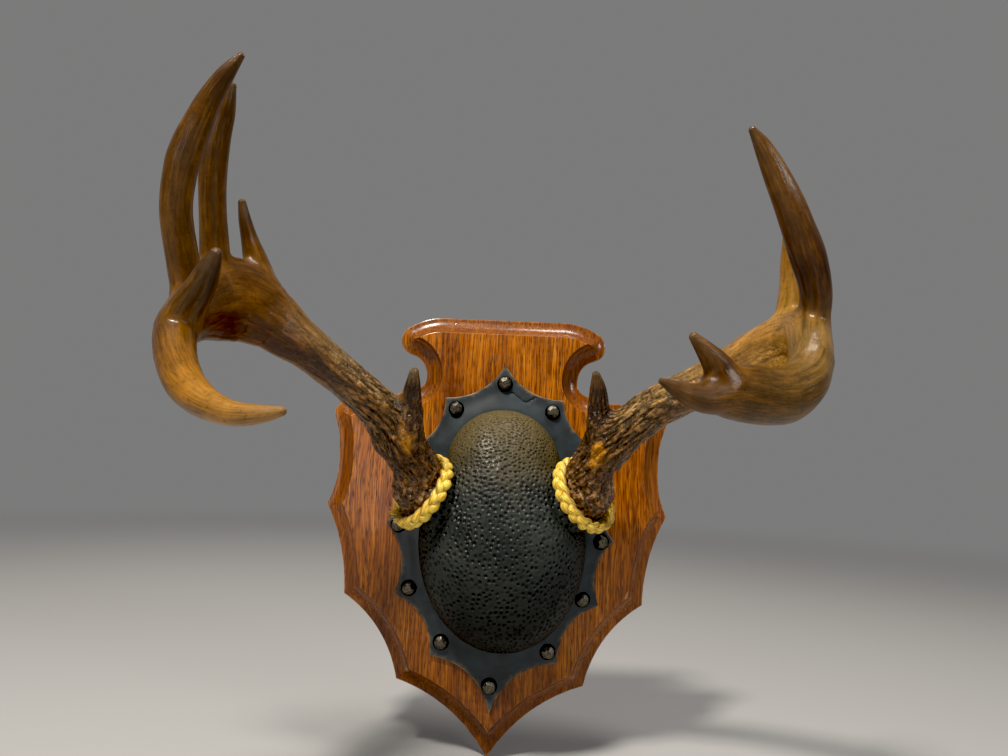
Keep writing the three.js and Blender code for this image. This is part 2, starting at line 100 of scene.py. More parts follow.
# stations along each limb: x, y, z of the middle, half depth along its reference direction,
# half width across it
LIMBS = {
    "left": {
        "beam": [
            (-57.4, -63, 50.4, 15.2, 15), (-68.6, -77, 66.3, 16, 14.6), (-76.7, -88, 80.6, 14.6, 13.8),
            (-86.5, -99, 91, 13.2, 12.6), (-102, -113, 104.0, 13.0, 12), (-117.8, -127, 116.6, 13.8, 12),
            (-128.6, -136, 124, 16.2, 12.2), (-137.5, -143, 131, 19.2, 12.6),
            (-150.6, -158, 137.8, 23.9, 13), (-159.4, -177, 134, 22.3, 12.4),
            (-161.4, -197, 123.8, 16.4, 9.8), (-160.7, -215, 109.4, 12.6, 10.3),
            (-153.1, -230, 95.3, 10.2, 9.6), (-143, -243, 83.5, 9.2, 8.8),
            (-132.8, -253, 76.3, 7.9, 7.6), (-123.1, -261, 71.8, 6.7, 6.6),
            (-112.4, -268, 68.8, 5.6, 5.5), (-102.9, -273, 68.2, 4.6, 4.6),
            (-94.1, -277, 68.8, 3.4, 3.5), (-87.4, -280, 69.8, 2, 2),
        ],
        "g3": [
            (-162.8, -200, 134.4, 10.5, 8.2), (-164, -206, 147.3, 10, 7.9),
            (-163.2, -221, 168.6, 8.8, 7.5), (-158.4, -231, 186.9, 8.4, 7.7),
            (-154.2, -235, 196.5, 8.0, 7.8), (-148.7, -239, 206.4, 7.4, 6.7),
            (-143.3, -242, 216.6, 6, 5.5), (-135.3, -245, 228.2, 4.4, 4),
            (-127.8, -247, 236.9, 1.9, 1.7),
        ],
        "g2": [
            (-160.1, -170, 145.1, 11, 8.6), (-160.4, -174, 156.9, 10, 8.1),
            (-159.5, -185, 180.7, 8.4, 7.1), (-157.6, -194, 198.6, 7.9, 7.2),
            (-153.4, -202, 215.8, 7, 6.6), (-148.9, -207, 227.9, 5.6, 5.3),
            (-145, -211, 239.6, 2.7, 2.5),
        ],
        "sticker": [
            (-143.2, -142, 148.1, 13, 10), (-146.9, -147, 163.5, 9.5, 7.3),
            (-149.8, -152, 175.2, 5.6, 5.1), (-151.9, -157, 186.1, 4, 3.6),
            (-153.1, -160, 194.6, 2.6, 2.4),
        ],
        "g4": [
            (-159.9, -213, 113.3, 11, 9.9), (-153.8, -220, 122.2, 9.5, 8.8),
            (-146.5, -226, 130.1, 7.8, 7.1), (-140.8, -232, 137.5, 6.2, 5.6),
            (-135.9, -237, 144.3, 3.4, 3.2),
        ],
        "brow": [
            (-62.2, -74, 60.7, 9.4, 9.6), (-59.3, -82, 74.4, 8.8, 8.9), (-58.8, -88, 87.3, 7.6, 7.6),
            (-57.5, -94, 97.2, 6.0, 5.7), (-56.2, -100, 107.7, 3.3, 3.1),
        ],
    },
    "right": {
        "beam": [
            (64, -63, 52.6, 15.2, 15), (73.6, -77, 67.4, 15.4, 14.8), (85, -88, 79.5, 14.2, 13.6),
            (98.6, -99, 91.4, 13.8, 13), (115.4, -114, 100.8, 13.2, 12.4),
            (127.8, -125, 107.6, 13.6, 12.2), (139.9, -137, 115, 14.6, 12.4),
            (151.7, -151, 121.6, 16.8, 12.8), (160.3, -168, 124.8, 19, 12.6),
            (160.9, -188, 122.7, 17.2, 11.3), (156.4, -204, 109.8, 12.8, 10.4),
            (148.3, -215, 98.1, 12.2, 11.5), (137.7, -223, 90.9, 13.6, 9.8),
            (127.1, -230, 88.8, 13.7, 9.4), (113, -239, 88.8, 13.7, 9.2),
            (99.3, -247, 87.9, 11.2, 8.4), (89.5, -252, 85.1, 7.1, 6.4), (81, -256, 86.2, 4.8, 4.6),
            (74.2, -259, 88.7, 3, 3.2), (69.4, -261, 90.6, 1.5, 1.8),
        ],
        "g3": [
            (162.2, -187, 129.9, 11.5, 9.2), (162.2, -195, 141.3, 10, 7.8),
            (158.9, -202, 151.7, 9.2, 8.1), (152.4, -209, 164.3, 9, 9), (145.2, -215, 176.7, 8.4, 8.1),
            (138.6, -220, 187.6, 7.6, 7.4), (130.6, -225, 199.7, 6.4, 6.2),
            (122.4, -230, 211, 4.5, 4.1), (116.5, -233, 217.6, 2, 1.9),
        ],
        "g2": [
            (162, -163, 141.4, 10.5, 9.2), (161.4, -168, 155.1, 10, 7.9), (159.6, -174, 169.5, 8.8, 7.6),
            (157.2, -181, 184.4, 7.6, 6.6), (152.6, -188, 198.2, 6.4, 5.6),
            (146, -194, 209.6, 4.6, 4.1), (139.6, -198, 218, 2.3, 2.1),
        ],
        "g4": [
            (101.8, -246, 92.2, 8, 9), (95.6, -250, 100.5, 6.4, 6.5), (89.3, -254, 106.4, 4.6, 4.2),
            (83.6, -258, 110.8, 2.3, 2.3),
        ],
        "brow": [
            (70.1, -74, 63.5, 9.2, 9.2), (66.1, -82, 76.4, 8.6, 8.9), (64, -88, 89.7, 7.2, 7.4),
            (62.6, -94, 101.6, 5.8, 5.8), (60.4, -100, 110.3, 3, 3),
        ],
    },
}

# ---------- camera ----------
camera = bpy.data.objects.new("camera", bpy.data.cameras.new("camera"))
camera.data.lens, camera.data.sensor_width = 27.5, 36.0
camera.data.clip_start, camera.data.clip_end = 0.01, 60.0
cam_right, cam_up, cam_back = ((0.999127, -0.003874, 0.041527), (-0.041705, -0.10589, 0.99350),
                               (0.000549, -0.99437, -0.10596))
camera.matrix_world = Matrix((
    (cam_right[0], cam_up[0], cam_back[0], 0.0017),
    (cam_right[1], cam_up[1], cam_back[1], -0.590),
    (cam_right[2], cam_up[2], cam_back[2], 0.054),
    (0, 0, 0, 1)))
scene.collection.objects.link(camera)
scene.camera = camera


# ---------- noise ----------
def _scramble(ix, iy, iz, seed):
    h = (ix.astype(np.uint64) * np.uint64(374761393) + iy.astype(np.uint64) * np.uint64(668265263)
         + iz.astype(np.uint64) * np.uint64(2246822519) + np.uint64(seed * 3266489917 & 0xFFFFFFFF))
    h &= np.uint64(0xFFFFFFFF)
    for k in (15, 13, 16):
        h = ((h ^ (h >> np.uint64(k))) * np.uint64(2654435761)) & np.uint64(0xFFFFFFFF)
    return h ^ (h >> np.uint64(15))


_a = np.arange(32)
GRADS = np.stack([np.cos(_a * 2.4) * np.sqrt(1 - ((_a + .5) / 16 - 1) ** 2),
                  np.sin(_a * 2.4) * np.sqrt(1 - ((_a + .5) / 16 - 1) ** 2), (_a + .5) / 16 - 1], 1)


def noise(p, seed=0):
    """Smooth noise, about -1 to 1, at points p."""
    i = np.floor(p).astype(np.int64)
    f = p - i
    u = f * f * f * (f * (f * 6 - 15) + 10)
    total = np.zeros(len(p))
    for dx in (0, 1):
        for dy in (0, 1):
            for dz in (0, 1):
                g = GRADS[(_scramble(i[:, 0] + dx, i[:, 1] + dy, i[:, 2] + dz, seed) & np.uint64(31)).astype(int)]
                w = ((u[:, 0] if dx else 1 - u[:, 0]) * (u[:, 1] if dy else 1 - u[:, 1])
                     * (u[:, 2] if dz else 1 - u[:, 2]))
                total += w * ((f[:, 0] - dx) * g[:, 0] + (f[:, 1] - dy) * g[:, 1] + (f[:, 2] - dz) * g[:, 2])
    return total * 1.5


def layers(p, seed=0, n=3, gain=0.5):
    total, amp, norm = 0, 1.0, 0.0
    for k in range(n):
        total = total + amp * noise(p * 2.03 ** k, seed + 17 * k)
        norm += amp
        amp *= gain
    return total / norm


def cells(p, seed=0):
    """One random point in every unit cell: distance to the nearest, to the next, and the nearest's number 0-1."""
    i = np.floor(p).astype(np.int64)
    f1 = np.full(len(p), 9.0)
    f2 = np.full(len(p), 9.0)
    own = np.zeros(len(p))
    for dx in (-1, 0, 1):
        for dy in (-1, 0, 1):
            for dz in (-1, 0, 1):
                c = (i[:, 0] + dx, i[:, 1] + dy, i[:, 2] + dz)
                h = _scramble(*c, seed)
                q = [c[k] + ((h >> np.uint64(8 * k)) & np.uint64(255)).astype(float) / 255 for k in range(3)]
                d = np.sqrt(sum((p[:, k] - q[k]) ** 2 for k in range(3)))
                near = d < f1
                f2 = np.where(near, f1, np.minimum(f2, d))
                own = np.where(near, ((h >> np.uint64(24)) & np.uint64(255)).astype(float) / 255, own)
                f1 = np.where(near, d, f1)
    return f1, f2, own


def ease(x, lo, hi):
    t = np.clip((x - lo) / (hi - lo), 0, 1)
    return t * t * (3 - 2 * t)


def unit(v):
    return v / np.maximum(np.linalg.norm(v, axis=-1, keepdims=True), 1e-12)


# ---------- meshes ----------
def mesh_object(name, co, faces, smooth=True):
    """co in millimetres; faces is a list of index arrays, one for each number of corners."""
    me = bpy.data.meshes.new(name)
    co = np.asarray(co, float)
    me.vertices.add(len(co))
    me.vertices.foreach_set("co", (co * MM).astype(np.float32).ravel())
    loops, starts, at = [], [], 0
    for f in faces:
        f = np.asarray(f, np.int32)
        loops.append(f.ravel())
        starts.append(at + f.shape[1] * np.arange(len(f)))
        at += f.size
    loops, starts = np.concatenate(loops), np.concatenate(starts)
    me.loops.add(len(loops))
    me.loops.foreach_set("vertex_index", loops.astype(np.int32))
    me.polygons.add(len(starts))
    me.polygons.foreach_set("loop_start", starts.astype(np.int32))
    me.update(calc_edges=True)
    me.validate()
    me.polygons.foreach_set("use_smooth", np.full(len(me.polygons), smooth))
    ob = bpy.data.objects.new(name, me)
    scene.collection.objects.link(ob)
    return ob


def joined(parts):
    """parts: list of (co, faces) with the same kinds of faces; returns one co and one faces list."""
    co, quads, tris, at = [], [], [], 0
    for c, faces in parts:
        co.append(c)
        for f in faces:
            f = np.asarray(f)
            (quads if f.shape[1] == 4 else tris).append(f + at)
        at += len(c)
    out = [np.concatenate(k) for k in (quads, tris) if k]
    return np.concatenate(co), out


def tube(rings, first=True, last=True, closed_loop=False):
    """rings: k x n x 3 points; ends closed by fans."""
    k, n = rings.shape[:2]
    co = rings.reshape(-1, 3)
    i = np.arange(k if closed_loop else k - 1)[:, None] * n
    j = np.arange(n)[None]
    a, b = i + j, i + (j + 1) % n
    c, d = (a + n) % (k * n), (b + n) % (k * n)
    quads = np.stack([a, b, d, c], -1).reshape(-1, 4)
    tris = []
    if not closed_loop:
        for on, row, flip in ((first, 0, True), (last, k - 1, False)):
            if not on:
                continue
            co = np.vstack([co, rings[row].mean(0)])
            p, q = row * n + np.arange(n), row * n + (np.arange(n) + 1) % n
            m = np.full(n, len(co) - 1)
            tris.append(np.stack([m, q, p] if flip else [m, p, q], -1))
    return co, [quads] + ([np.concatenate(tris)] if tris else [])


def coords(ob):
    co = np.empty(len(ob.data.vertices) * 3, np.float32)
    ob.data.vertices.foreach_get("co", co)
    return co.reshape(-1, 3).astype(float) / MM


def move_to(ob, co):
    ob.data.vertices.foreach_set("co", (co * MM).astype(np.float32).ravel())
    ob.data.update()


def fuse(ob, voxel):
    """Joins the closed bodies of ob into one skin of even quads."""
    m = ob.modifiers.new("fuse", "REMESH")
    m.mode, m.voxel_size, m.use_smooth_shade = "VOXEL", voxel * MM, True
    dg = bpy.context.evaluated_depsgraph_get()
    me = bpy.data.meshes.new_from_object(ob.evaluated_get(dg))
    ob.modifiers.clear()
    ob.data = me
    me.name = ob.name
    me.polygons.foreach_set("use_smooth", np.ones(len(me.polygons), bool))
    me.materials.clear()


def relax(ob, co, rounds, weight=None, strength=0.5):
    """Evens out co along the mesh's edges."""
    me = ob.data
    e = np.empty(len(me.edges) * 2, np.int32)
    me.edges.foreach_get("vertices", e)
    a, b = e[::2], e[1::2]
    n = len(co)
    count = np.maximum(np.bincount(a, minlength=n) + np.bincount(b, minlength=n), 1)
    w = strength if weight is None else (strength * weight)[:, None]
    for _ in range(rounds):
        s = np.stack([np.bincount(a, co[b, k], n) + np.bincount(b, co[a, k], n) for k in range(3)], 1)
        co = co + w * (s / count[:, None] - co)
    return co


def normals(ob):
    """Outward normal at each vertex, after move_to."""
    me = ob.data
    n = np.empty(len(me.vertices) * 3, np.float32)
    me.vertex_normals.foreach_get("vector", n)
    return n.reshape(-1, 3).astype(float)


def store(ob, name, values):
    values = np.asarray(values, np.float32)
    kind = {1: "FLOAT", 2: "FLOAT_VECTOR"}[values.ndim]
    if values.ndim == 2 and values.shape[1] == 4:
        kind = "FLOAT_COLOR"
    at = ob.data.attributes.new(name, kind, "POINT")
    at.data.foreach_set({"FLOAT": "value", "FLOAT_VECTOR": "vector", "FLOAT_COLOR": "color"}[kind], values.ravel())


def srgb(*rgb):
    return tuple(((c / 255 / 12.92) if c <= 10 else ((c / 255 + 0.055) / 1.055) ** 2.4) for c in rgb)


def finish_piece(ob, mat, slot, *nodes):
    ob.data.materials.clear()
    ob.data.materials.append(mat)
    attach(ob, "root")
    if nodes:
        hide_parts(*nodes)
    return ob


# ---------- material helpers ----------
class Look:
    """A short way to write one material's nodes."""

    def __init__(self, name):
        self.mat = bpy.data.materials.new(name)
        self.mat.use_nodes = True
        self.t = self.mat.node_tree
        self.p = next(n for n in self.t.nodes if n.type == "BSDF_PRINCIPLED")

    def node(self, kind, **props):
        n = self.t.nodes.new("ShaderNode" + kind)
        for k, v in props.items():
            setattr(n, k, v)
        return n

    def put(self, socket, value):
        if hasattr(value, "links") or isinstance(value, bpy.types.NodeSocket):
            self.t.links.new(value, socket)
        else:
            socket.default_value = value

    def math(self, op, a, b=None, c=None, clamp=False):
        n = self.node("Math", operation=op, use_clamp=clamp)
        for i, v in enumerate((a, b, c)):
            if v is not None:
                self.put(n.inputs[i], v)
        return n.outputs[0]

    def vmath(self, op, a, b=None, scale=None):
        n = self.node("VectorMath", operation=op)
        self.put(n.inputs[0], a)
        if b is not None:
            self.put(n.inputs[1], b)
        if scale is not None:
            self.put(n.inputs[3], scale)
        return n.outputs[0]

    def attr(self, name, out="Fac"):
        n = self.node("Attribute", attribute_name=name)
        return n.outputs[out]

    def place(self):
        return self.node("TexCoord").outputs["Object"]

    def stretch(self, vector, x, y, z):
        return self.vmath("MULTIPLY", vector, (x, y, z))

    def noise(self, vector, scale, detail=3.0, rough=0.5, distort=0.0, out="Fac"):
        n = self.node("TexNoise")
        self.put(n.inputs["Vector"], vector)
        n.inputs["Scale"].default_value = scale
        n.inputs["Detail"].default_value = detail
        n.inputs["Roughness"].default_value = rough
        n.inputs["Distortion"].default_value = distort
        return n.outputs[out]

    def cells(self, vector, scale, feature="F1", out="Distance"):
        n = self.node("TexVoronoi", feature=feature)
        self.put(n.inputs["Vector"], vector)
        n.inputs["Scale"].default_value = scale
        return n.outputs[out]

    def span(self, v, lo, hi, to_lo=0.0, to_hi=1.0, smooth=False):
        n = self.node("MapRange", interpolation_type="SMOOTHSTEP" if smooth else "LINEAR")
        n.clamp = True
        self.put(n.inputs[0], v)
        for i, x in enumerate((lo, hi, to_lo, to_hi)):
            n.inputs[i + 1].default_value = x
        return n.outputs[0]

    def ramp(self, v, *stops):
        n = self.node("ValToRGB")
        e = n.color_ramp.elements
        while len(e) < len(stops):
            e.new(0.5)
        for k, (at, rgb) in enumerate(stops):
            e[k].position = at
            e[k].color = (*rgb, 1)
        self.put(n.inputs[0], v)
        return n.outputs[0]

    def mix(self, f, a, b, blend="MIX"):
        n = self.node("Mix", data_type="RGBA", blend_type=blend)
        self.put(n.inputs[0], f)
        for s, v in ((n.inputs[6], a), (n.inputs[7], b)):
            self.put(s, (*v, 1) if isinstance(v, tuple) and len(v) == 3 else v)
        return n.outputs[2]

    def bump(self, height, strength, distance, normal=None):
        n = self.node("Bump")
        n.inputs["Strength"].default_value = strength
        n.inputs["Distance"].default_value = distance
        self.put(n.inputs["Height"], height)
        if normal is not None:
            self.put(n.inputs["Normal"], normal)
        return n.outputs[0]

    def set(self, **v):
        names = {"color": "Base Color", "rough": "Roughness", "metal": "Metallic", "coat": "Coat Weight",
                 "coat_rough": "Coat Roughness", "normal": "Normal", "coat_normal": "Coat Normal",
                 "ior": "IOR", "specular": "Specular IOR Level", "sheen": "Sheen Weight",
                 "sheen_rough": "Sheen Roughness", "sss": "Subsurface Weight", "sss_scale": "Subsurface Scale",
                 "aniso": "Anisotropic"}
        for k, x in v.items():
            s = self.p.inputs[names[k]]
            self.put(s, (*x, 1) if k == "color" and isinstance(x, tuple) and len(x) == 3 else x)
        return self.mat


# ---------- outlines in the board's plane ----------
def bowed(corners, step):
    out = []
    for i, a in enumerate(corners):
        b = corners[(i + 1) % len(corners)]
        dx, dz = b[0] - a[0], b[1] - a[1]
        length = math.hypot(dx, dz)
        if length < 1e-6:
            continue
        n = max(1, round(length / step))
        for k in range(n):
            t = k / n
            h = 4 * b[2] * t * (1 - t)
            out.append((a[0] + dx * t - dz / length * h, a[1] + dz * t + dx / length * h))
    return np.array(out)


def edge_distance(p, pts):
    """Distance from each point of p to the closed outline."""
    a, b = pts, np.roll(pts, -1, 0)
    ab = b - a
    best = np.full(len(p), 1e9)
    for k in range(0, len(p), 2000):
        q = p[k:k + 2000, None] - a[None]
        t = np.clip((q * ab).sum(-1) / (ab ** 2).sum(-1), 0, 1)
        best[k:k + 2000] = np.sqrt(((q - t[..., None] * ab) ** 2).sum(-1)).min(1)
    return best


def inside(p, pts):
    a, b = pts, np.roll(pts, -1, 0)
    y = p[:, 1:2]
    cross = (a[None, :, 1] > y) != (b[None, :, 1] > y)
    with np.errstate(divide="ignore", invalid="ignore"):
        x = a[None, :, 0] + (y - a[None, :, 1]) * (b[None, :, 0] - a[None, :, 0]) / (b[None, :, 1] - a[None, :, 1])
    return (cross & (p[:, 0:1] < x)).sum(1) % 2 == 1


def inset(pts, d):
    """Every point moved inward by d; runs that would fold over are spread between their neighbours."""
    if d == 0:
        return pts.copy()
    n = len(pts)
    e = unit(pts - np.roll(pts, 1, 0))
    f = unit(np.roll(pts, -1, 0) - pts)
    n1, n2 = np.stack([e[:, 1], -e[:, 0]], 1), np.stack([f[:, 1], -f[:, 0]], 1)
    m = unit(n1 + n2)
    q = pts + m * (d / np.maximum(0.4, (m * n1).sum(1)))[:, None]
    good = edge_distance(q, pts) > d - 0.06 * d - 0.05
    start = int(np.argmax(good))
    i = start
    while True:
        j = (i + 1) % n
        if not good[j]:
            k, run = j, 0
            while not good[k]:
                k, run = (k + 1) % n, run + 1
            v = q[k] - q[i]
            for r in range(run):
                t = (r + 1) / (run + 1)
                q[(j + r) % n] = q[i] + v * t + np.array([-v[1], v[0]]) * 0.02 * t * (1 - t)
            i = k
        else:
            i = j
        if i == start:
            break
    return q


# ---------- board ----------
corners = list(BOARD_EDGE)
for k in range(len(BOARD_EDGE) - 2, 0, -1):
    corners.append((-BOARD_EDGE[k][0], BOARD_EDGE[k][1], BOARD_EDGE[k + 1][2]))
board_outline = bowed(corners, 2.2)


def board_rings():
    ease_r = 0.55                                # softened edges
    levels = [(0.0, ease_r), (-0.3 * ease_r, 0.3 * ease_r), (-ease_r, 0.0), (-3.2, 0.0)]
    lip = -(BOARD_T - COVE_R)
    levels += [(lip + ease_r, 0.0), (lip + 0.3 * ease_r, 0.25 * ease_r)]
    steps = 14
    for k in range(steps + 1):
        a = math.radians(87 - 84 * k / steps)
        levels.append((-BOARD_T + COVE_R * math.sin(a) - (0.04 if k in (0, steps) else 0), COVE_R * math.cos(a)))
    levels += [(-BOARD_T + 0.3, COVE_R + 0.05), (-BOARD_T + 0.07, COVE_R + 0.28), (-BOARD_T, COVE_R + 0.6)]
    return levels


levels = board_rings()
rings = []
for y, d in levels:
    q = inset(board_outline, d)
    rings.append(np.stack([q[:, 0], np.full(len(q), y), q[:, 1]], 1))
rings = np.array(rings)
k, n = rings.shape[:2]
co, faces = tube(rings, False, False)
ends = [np.arange(n)[None, ::-1], ((k - 1) * n + np.arange(n))[None]]
board = mesh_object("board_wood", co, faces + ends)
bm = bmesh.new()
bm.from_mesh(board.data)
bmesh.ops.recalc_face_normals(bm, faces=bm.faces)
bmesh.ops.triangulate(bm, faces=[f for f in bm.faces if len(f.verts) > 4])
bm.to_mesh(board.data)
bm.free()
for poly in board.data.polygons:
    poly.use_smooth = True
board.data.set_sharp_from_angle(angle=math.radians(34))


# ---------- skull cover ----------
flange_outline = bowed(list(FLANGE_EDGE), 1.6)
# a buckled line in the flange below and right of its top corner
BUCKLE = [(6.5, 104.5), (10.5, 102.2), (15.0, 98.6), (18.6, 97.0), (21.5, 98.6), (26.0, 101.2), (29.5, 101.6)]
DOME = {"top": 90.5, "bottom": -82, "lobe_r": 41.5, "lobe_z": 49, "low_w": 60, "low_h": 76.5, "low_z": -5.5}


def dome_width(z):
    up = np.sqrt(np.maximum(0, DOME["lobe_r"] ** 2 - (z - DOME["lobe_z"]) ** 2)) * (z > 0)
    low = DOME["low_w"] * np.sqrt(np.maximum(0, 1 - ((z - DOME["low_z"]) / DOME["low_h"]) ** 2))
    return np.maximum(up, low)


def dome_height(z):
    u = np.abs((z - 4.25) / 86.25)
    return DOME_H * (1 - 0.12 * ease(z, 0, 70)) * np.maximum(0, 1 - u ** 2.4) ** (1 / 2.2)


def dome_middle(z):
    return 3 + 0.02 * (90 - z)


def spline(rows, t):
    """Points on a uniform Catmull-Rom curve through the rows."""
    rows = np.asarray(rows, float)
    n = len(rows)
    ext = np.vstack([2 * rows[0] - rows[1], rows, 2 * rows[-1] - rows[-2]])
    i = np.clip(np.floor(t).astype(int), 0, n - 2)
    u = (t - i)[:, None]
    a, b, c, d = ext[i], ext[i + 1], ext[i + 2], ext[i + 3]
    return 0.5 * (2 * b + (c - a) * u + (2 * a - 5 * b + 4 * c - d) * u ** 2 + (3 * b - a - 3 * c + d) * u ** 3)


class Limb:
    """A tapering limb along a curve, with an elliptical section that turns with it."""

    def __init__(self, rows, ref, step=1.2):
        rows = np.asarray(rows, float)
        t = np.linspace(0, len(rows) - 1, 40 * (len(rows) - 1) + 1)
        p = spline(rows, t)
        run = np.r_[0, np.cumsum(np.linalg.norm(np.diff(p[:, :3], axis=0), axis=1))]
        self.length = run[-1]
        m = max(4, int(round(self.length / step)))
        self.s = np.linspace(0, self.length, m + 1)
        self.step = self.s[1]
        self.t = np.interp(self.s, run, t)
        p = spline(rows, self.t)
        self.c, self.a, self.b = p[:, :3], p[:, 3], p[:, 4]
        self.T = unit(np.gradient(self.c, axis=0))
        ref = np.array(ref, float)
        self.A = unit(ref - self.T * (self.T @ ref)[:, None])
        self.B = np.cross(self.T, self.A)

    def rings(self, every, sides, grow=0.0, start=0, tip=True):
        idx = np.unique(np.r_[np.arange(start, len(self.s), every), len(self.s) - 1])
        f = 2 * np.pi * np.arange(sides) / sides
        out = []
        for j in idx:
            out.append(self.c[j] + (self.a[j] + grow) * np.cos(f)[:, None] * self.A[j]
                       + (self.b[j] + grow) * np.sin(f)[:, None] * self.B[j])
        if tip:
            j, r = len(self.s) - 1, min(self.a[-1], self.b[-1]) + grow
            for ang in (0.35, 0.7, 1.0, 1.3):
                out.append(self.c[j] + (out[len(idx) - 1] - self.c[j]) * math.cos(ang) + self.T[j] * r * math.sin(ang))
        return np.array(out)

    def nearest(self, p):
        j = np.empty(len(p), int)
        cc = (self.c ** 2).sum(1)
        for k in range(0, len(p), 20000):
            j[k:k + 20000] = (cc[None] - 2 * p[k:k + 20000] @ self.c.T).argmin(1)
        return j

    def measure(self, p):
        """Distance to the limb's surface, its outward direction, place along it and angle round it."""
        j = self.nearest(p)
        along = ((p - self.c[j]) * self.T[j]).sum(1)
        last, first = j == len(self.s) - 1, j == 0
        h = 0.6 * self.step
        inner = np.clip(along, np.where(first, 0, -h), np.where(last, 0, h))
        s = self.s[j] + inner
        get = lambda v: np.stack([np.interp(s, self.s, v[:, k]) for k in range(3)], 1)
        T = unit(get(self.T))
        A = get(self.A)
        A = unit(A - T * (A * T).sum(1)[:, None])
        B = np.cross(T, A)
        a, b = np.interp(s, self.s, self.a), np.interp(s, self.s, self.b)
        q = p - get(self.c)
        m = np.minimum(a, b)
        over = np.where(last, np.maximum(along, 0), 0) + np.where(first, np.minimum(along, 0), 0)
        m = np.where(first, 2.5, m)
        u, v, w = (q * A).sum(1) / a, (q * B).sum(1) / b, over / m
        rho = np.sqrt(u * u + v * v + w * w) + 1e-9
        g = (u / a / rho)[:, None] * A + (v / b / rho)[:, None] * B + (w / m / rho)[:, None] * T
        size = np.linalg.norm(g, axis=1)
        return (rho - 1) / np.maximum(size, 1e-6), g / np.maximum(size, 1e-9)[:, None], s, np.arctan2(v, u)


UP, OUT = (0, 0, 1), (0, -1, 0)


def boss_rows(side):
    at, axis = np.array(RING[side]["at"]), np.array(RING[side]["axis"])
    mid = -14 if side == "left" else 22
    near, end = at - axis * 5, at + axis * 0.6
    return [(mid, -40, 12, 17, 17), ((mid + at[0]) / 2, -43, 20, 18.5, 18.5),
            (*near, 20.4, 20.4), (*end, 19.2, 19.2)]


dome_parts = []
zs = 4.25 + 86.2 * np.cos(np.pi * (0.012 + 0.976 * np.linspace(0, 1, 70)))
f = np.pi * np.linspace(0, 1, 60)
rows = []
for z in zs:
    w, h, c = dome_width(z), dome_height(z), dome_middle(z)
    x = np.sign(np.cos(f)) * np.abs(np.cos(f)) ** 0.84
    y = np.abs(np.sin(f)) ** 0.84
    top = np.stack([c + w * x, FLANGE_TOP - h * y, np.full(len(f), z)], 1)
    foot = np.array([[c - w, FLANGE_TOP + 1.8, z], [c + w, FLANGE_TOP + 1.8, z]])
    rows.append(np.vstack([top, foot]))
dome_parts.append(tube(np.array(rows)))
# the skirt that the dome flares into, just under the flange's face
skirt = []
ring = []
for a in np.linspace(0, 2 * np.pi, 180, endpoint=False):
    z = 4.25 + 86.2 * math.cos(a)
    ring.append((float(dome_middle(z)) + math.copysign(float(dome_width(np.array([z]))[0]), math.sin(a)), z))
dome_outline = np.array(ring)
outward = unit(np.roll(dome_outline, -1, 0) - np.roll(dome_outline, 1, 0))
outward = np.stack([-outward[:, 1], outward[:, 0]], 1)
for grow, y in ((0, FLANGE_TOP + 1.8), (7, FLANGE_TOP + 1.8), (7, FLANGE_TOP + 0.25), (0, FLANGE_TOP + 0.25)):
    ring = dome_outline + outward * grow
    skirt.append(np.stack([ring[:, 0], np.full(len(ring), y), ring[:, 1]], 1))
dome_parts.append(tube(np.array(skirt)))
for side in ("left", "right"):
    dome_parts.append(tube(Limb(boss_rows(side), UP).rings(2, 40, tip=False)))
co, faces = joined(dome_parts)
dome = mesh_object("skull_cover_dome", co, faces)
bm = bmesh.new()
bm.from_mesh(dome.data)
bmesh.ops.recalc_face_normals(bm, faces=bm.faces)
bm.to_mesh(dome.data)
bm.free()
fuse(dome, 0.54)
co = coords(dome)
co = relax(dome, co, 40)
move_to(dome, co)
n_out = normals(dome)
rise = FLANGE_TOP - co[:, 1]                       # height above the flange
pebble = ease(rise, 2.4, 4.8)
lobe = ease(co[:, 2] + 5 * noise(co / 22, 9), 32, 66)


def scattered(points, spacing, seed):
    """Places no nearer to each other than their own spacing, picked in a fixed random order."""
    order = np.random.default_rng(seed).permutation(len(points))
    cell, taken, chosen = 4.0, {}, []
    for i in order:
        p, r = points[i], spacing[i]
        k = (int(p[0] // cell), int(p[1] // cell), int(p[2] // cell))
        close = False
        for dx in (-1, 0, 1):
            for dy in (-1, 0, 1):
                for dz in (-1, 0, 1):
                    for j in taken.get((k[0] + dx, k[1] + dy, k[2] + dz), ()):
                        if ((points[j] - p) ** 2).sum() < r * r:
                            close = True
                            break
                    if close:
                        break
                if close:
                    break
            if close:
                break
        if not close:
            taken.setdefault(k, []).append(i)
            chosen.append(i)
    return np.array(chosen)


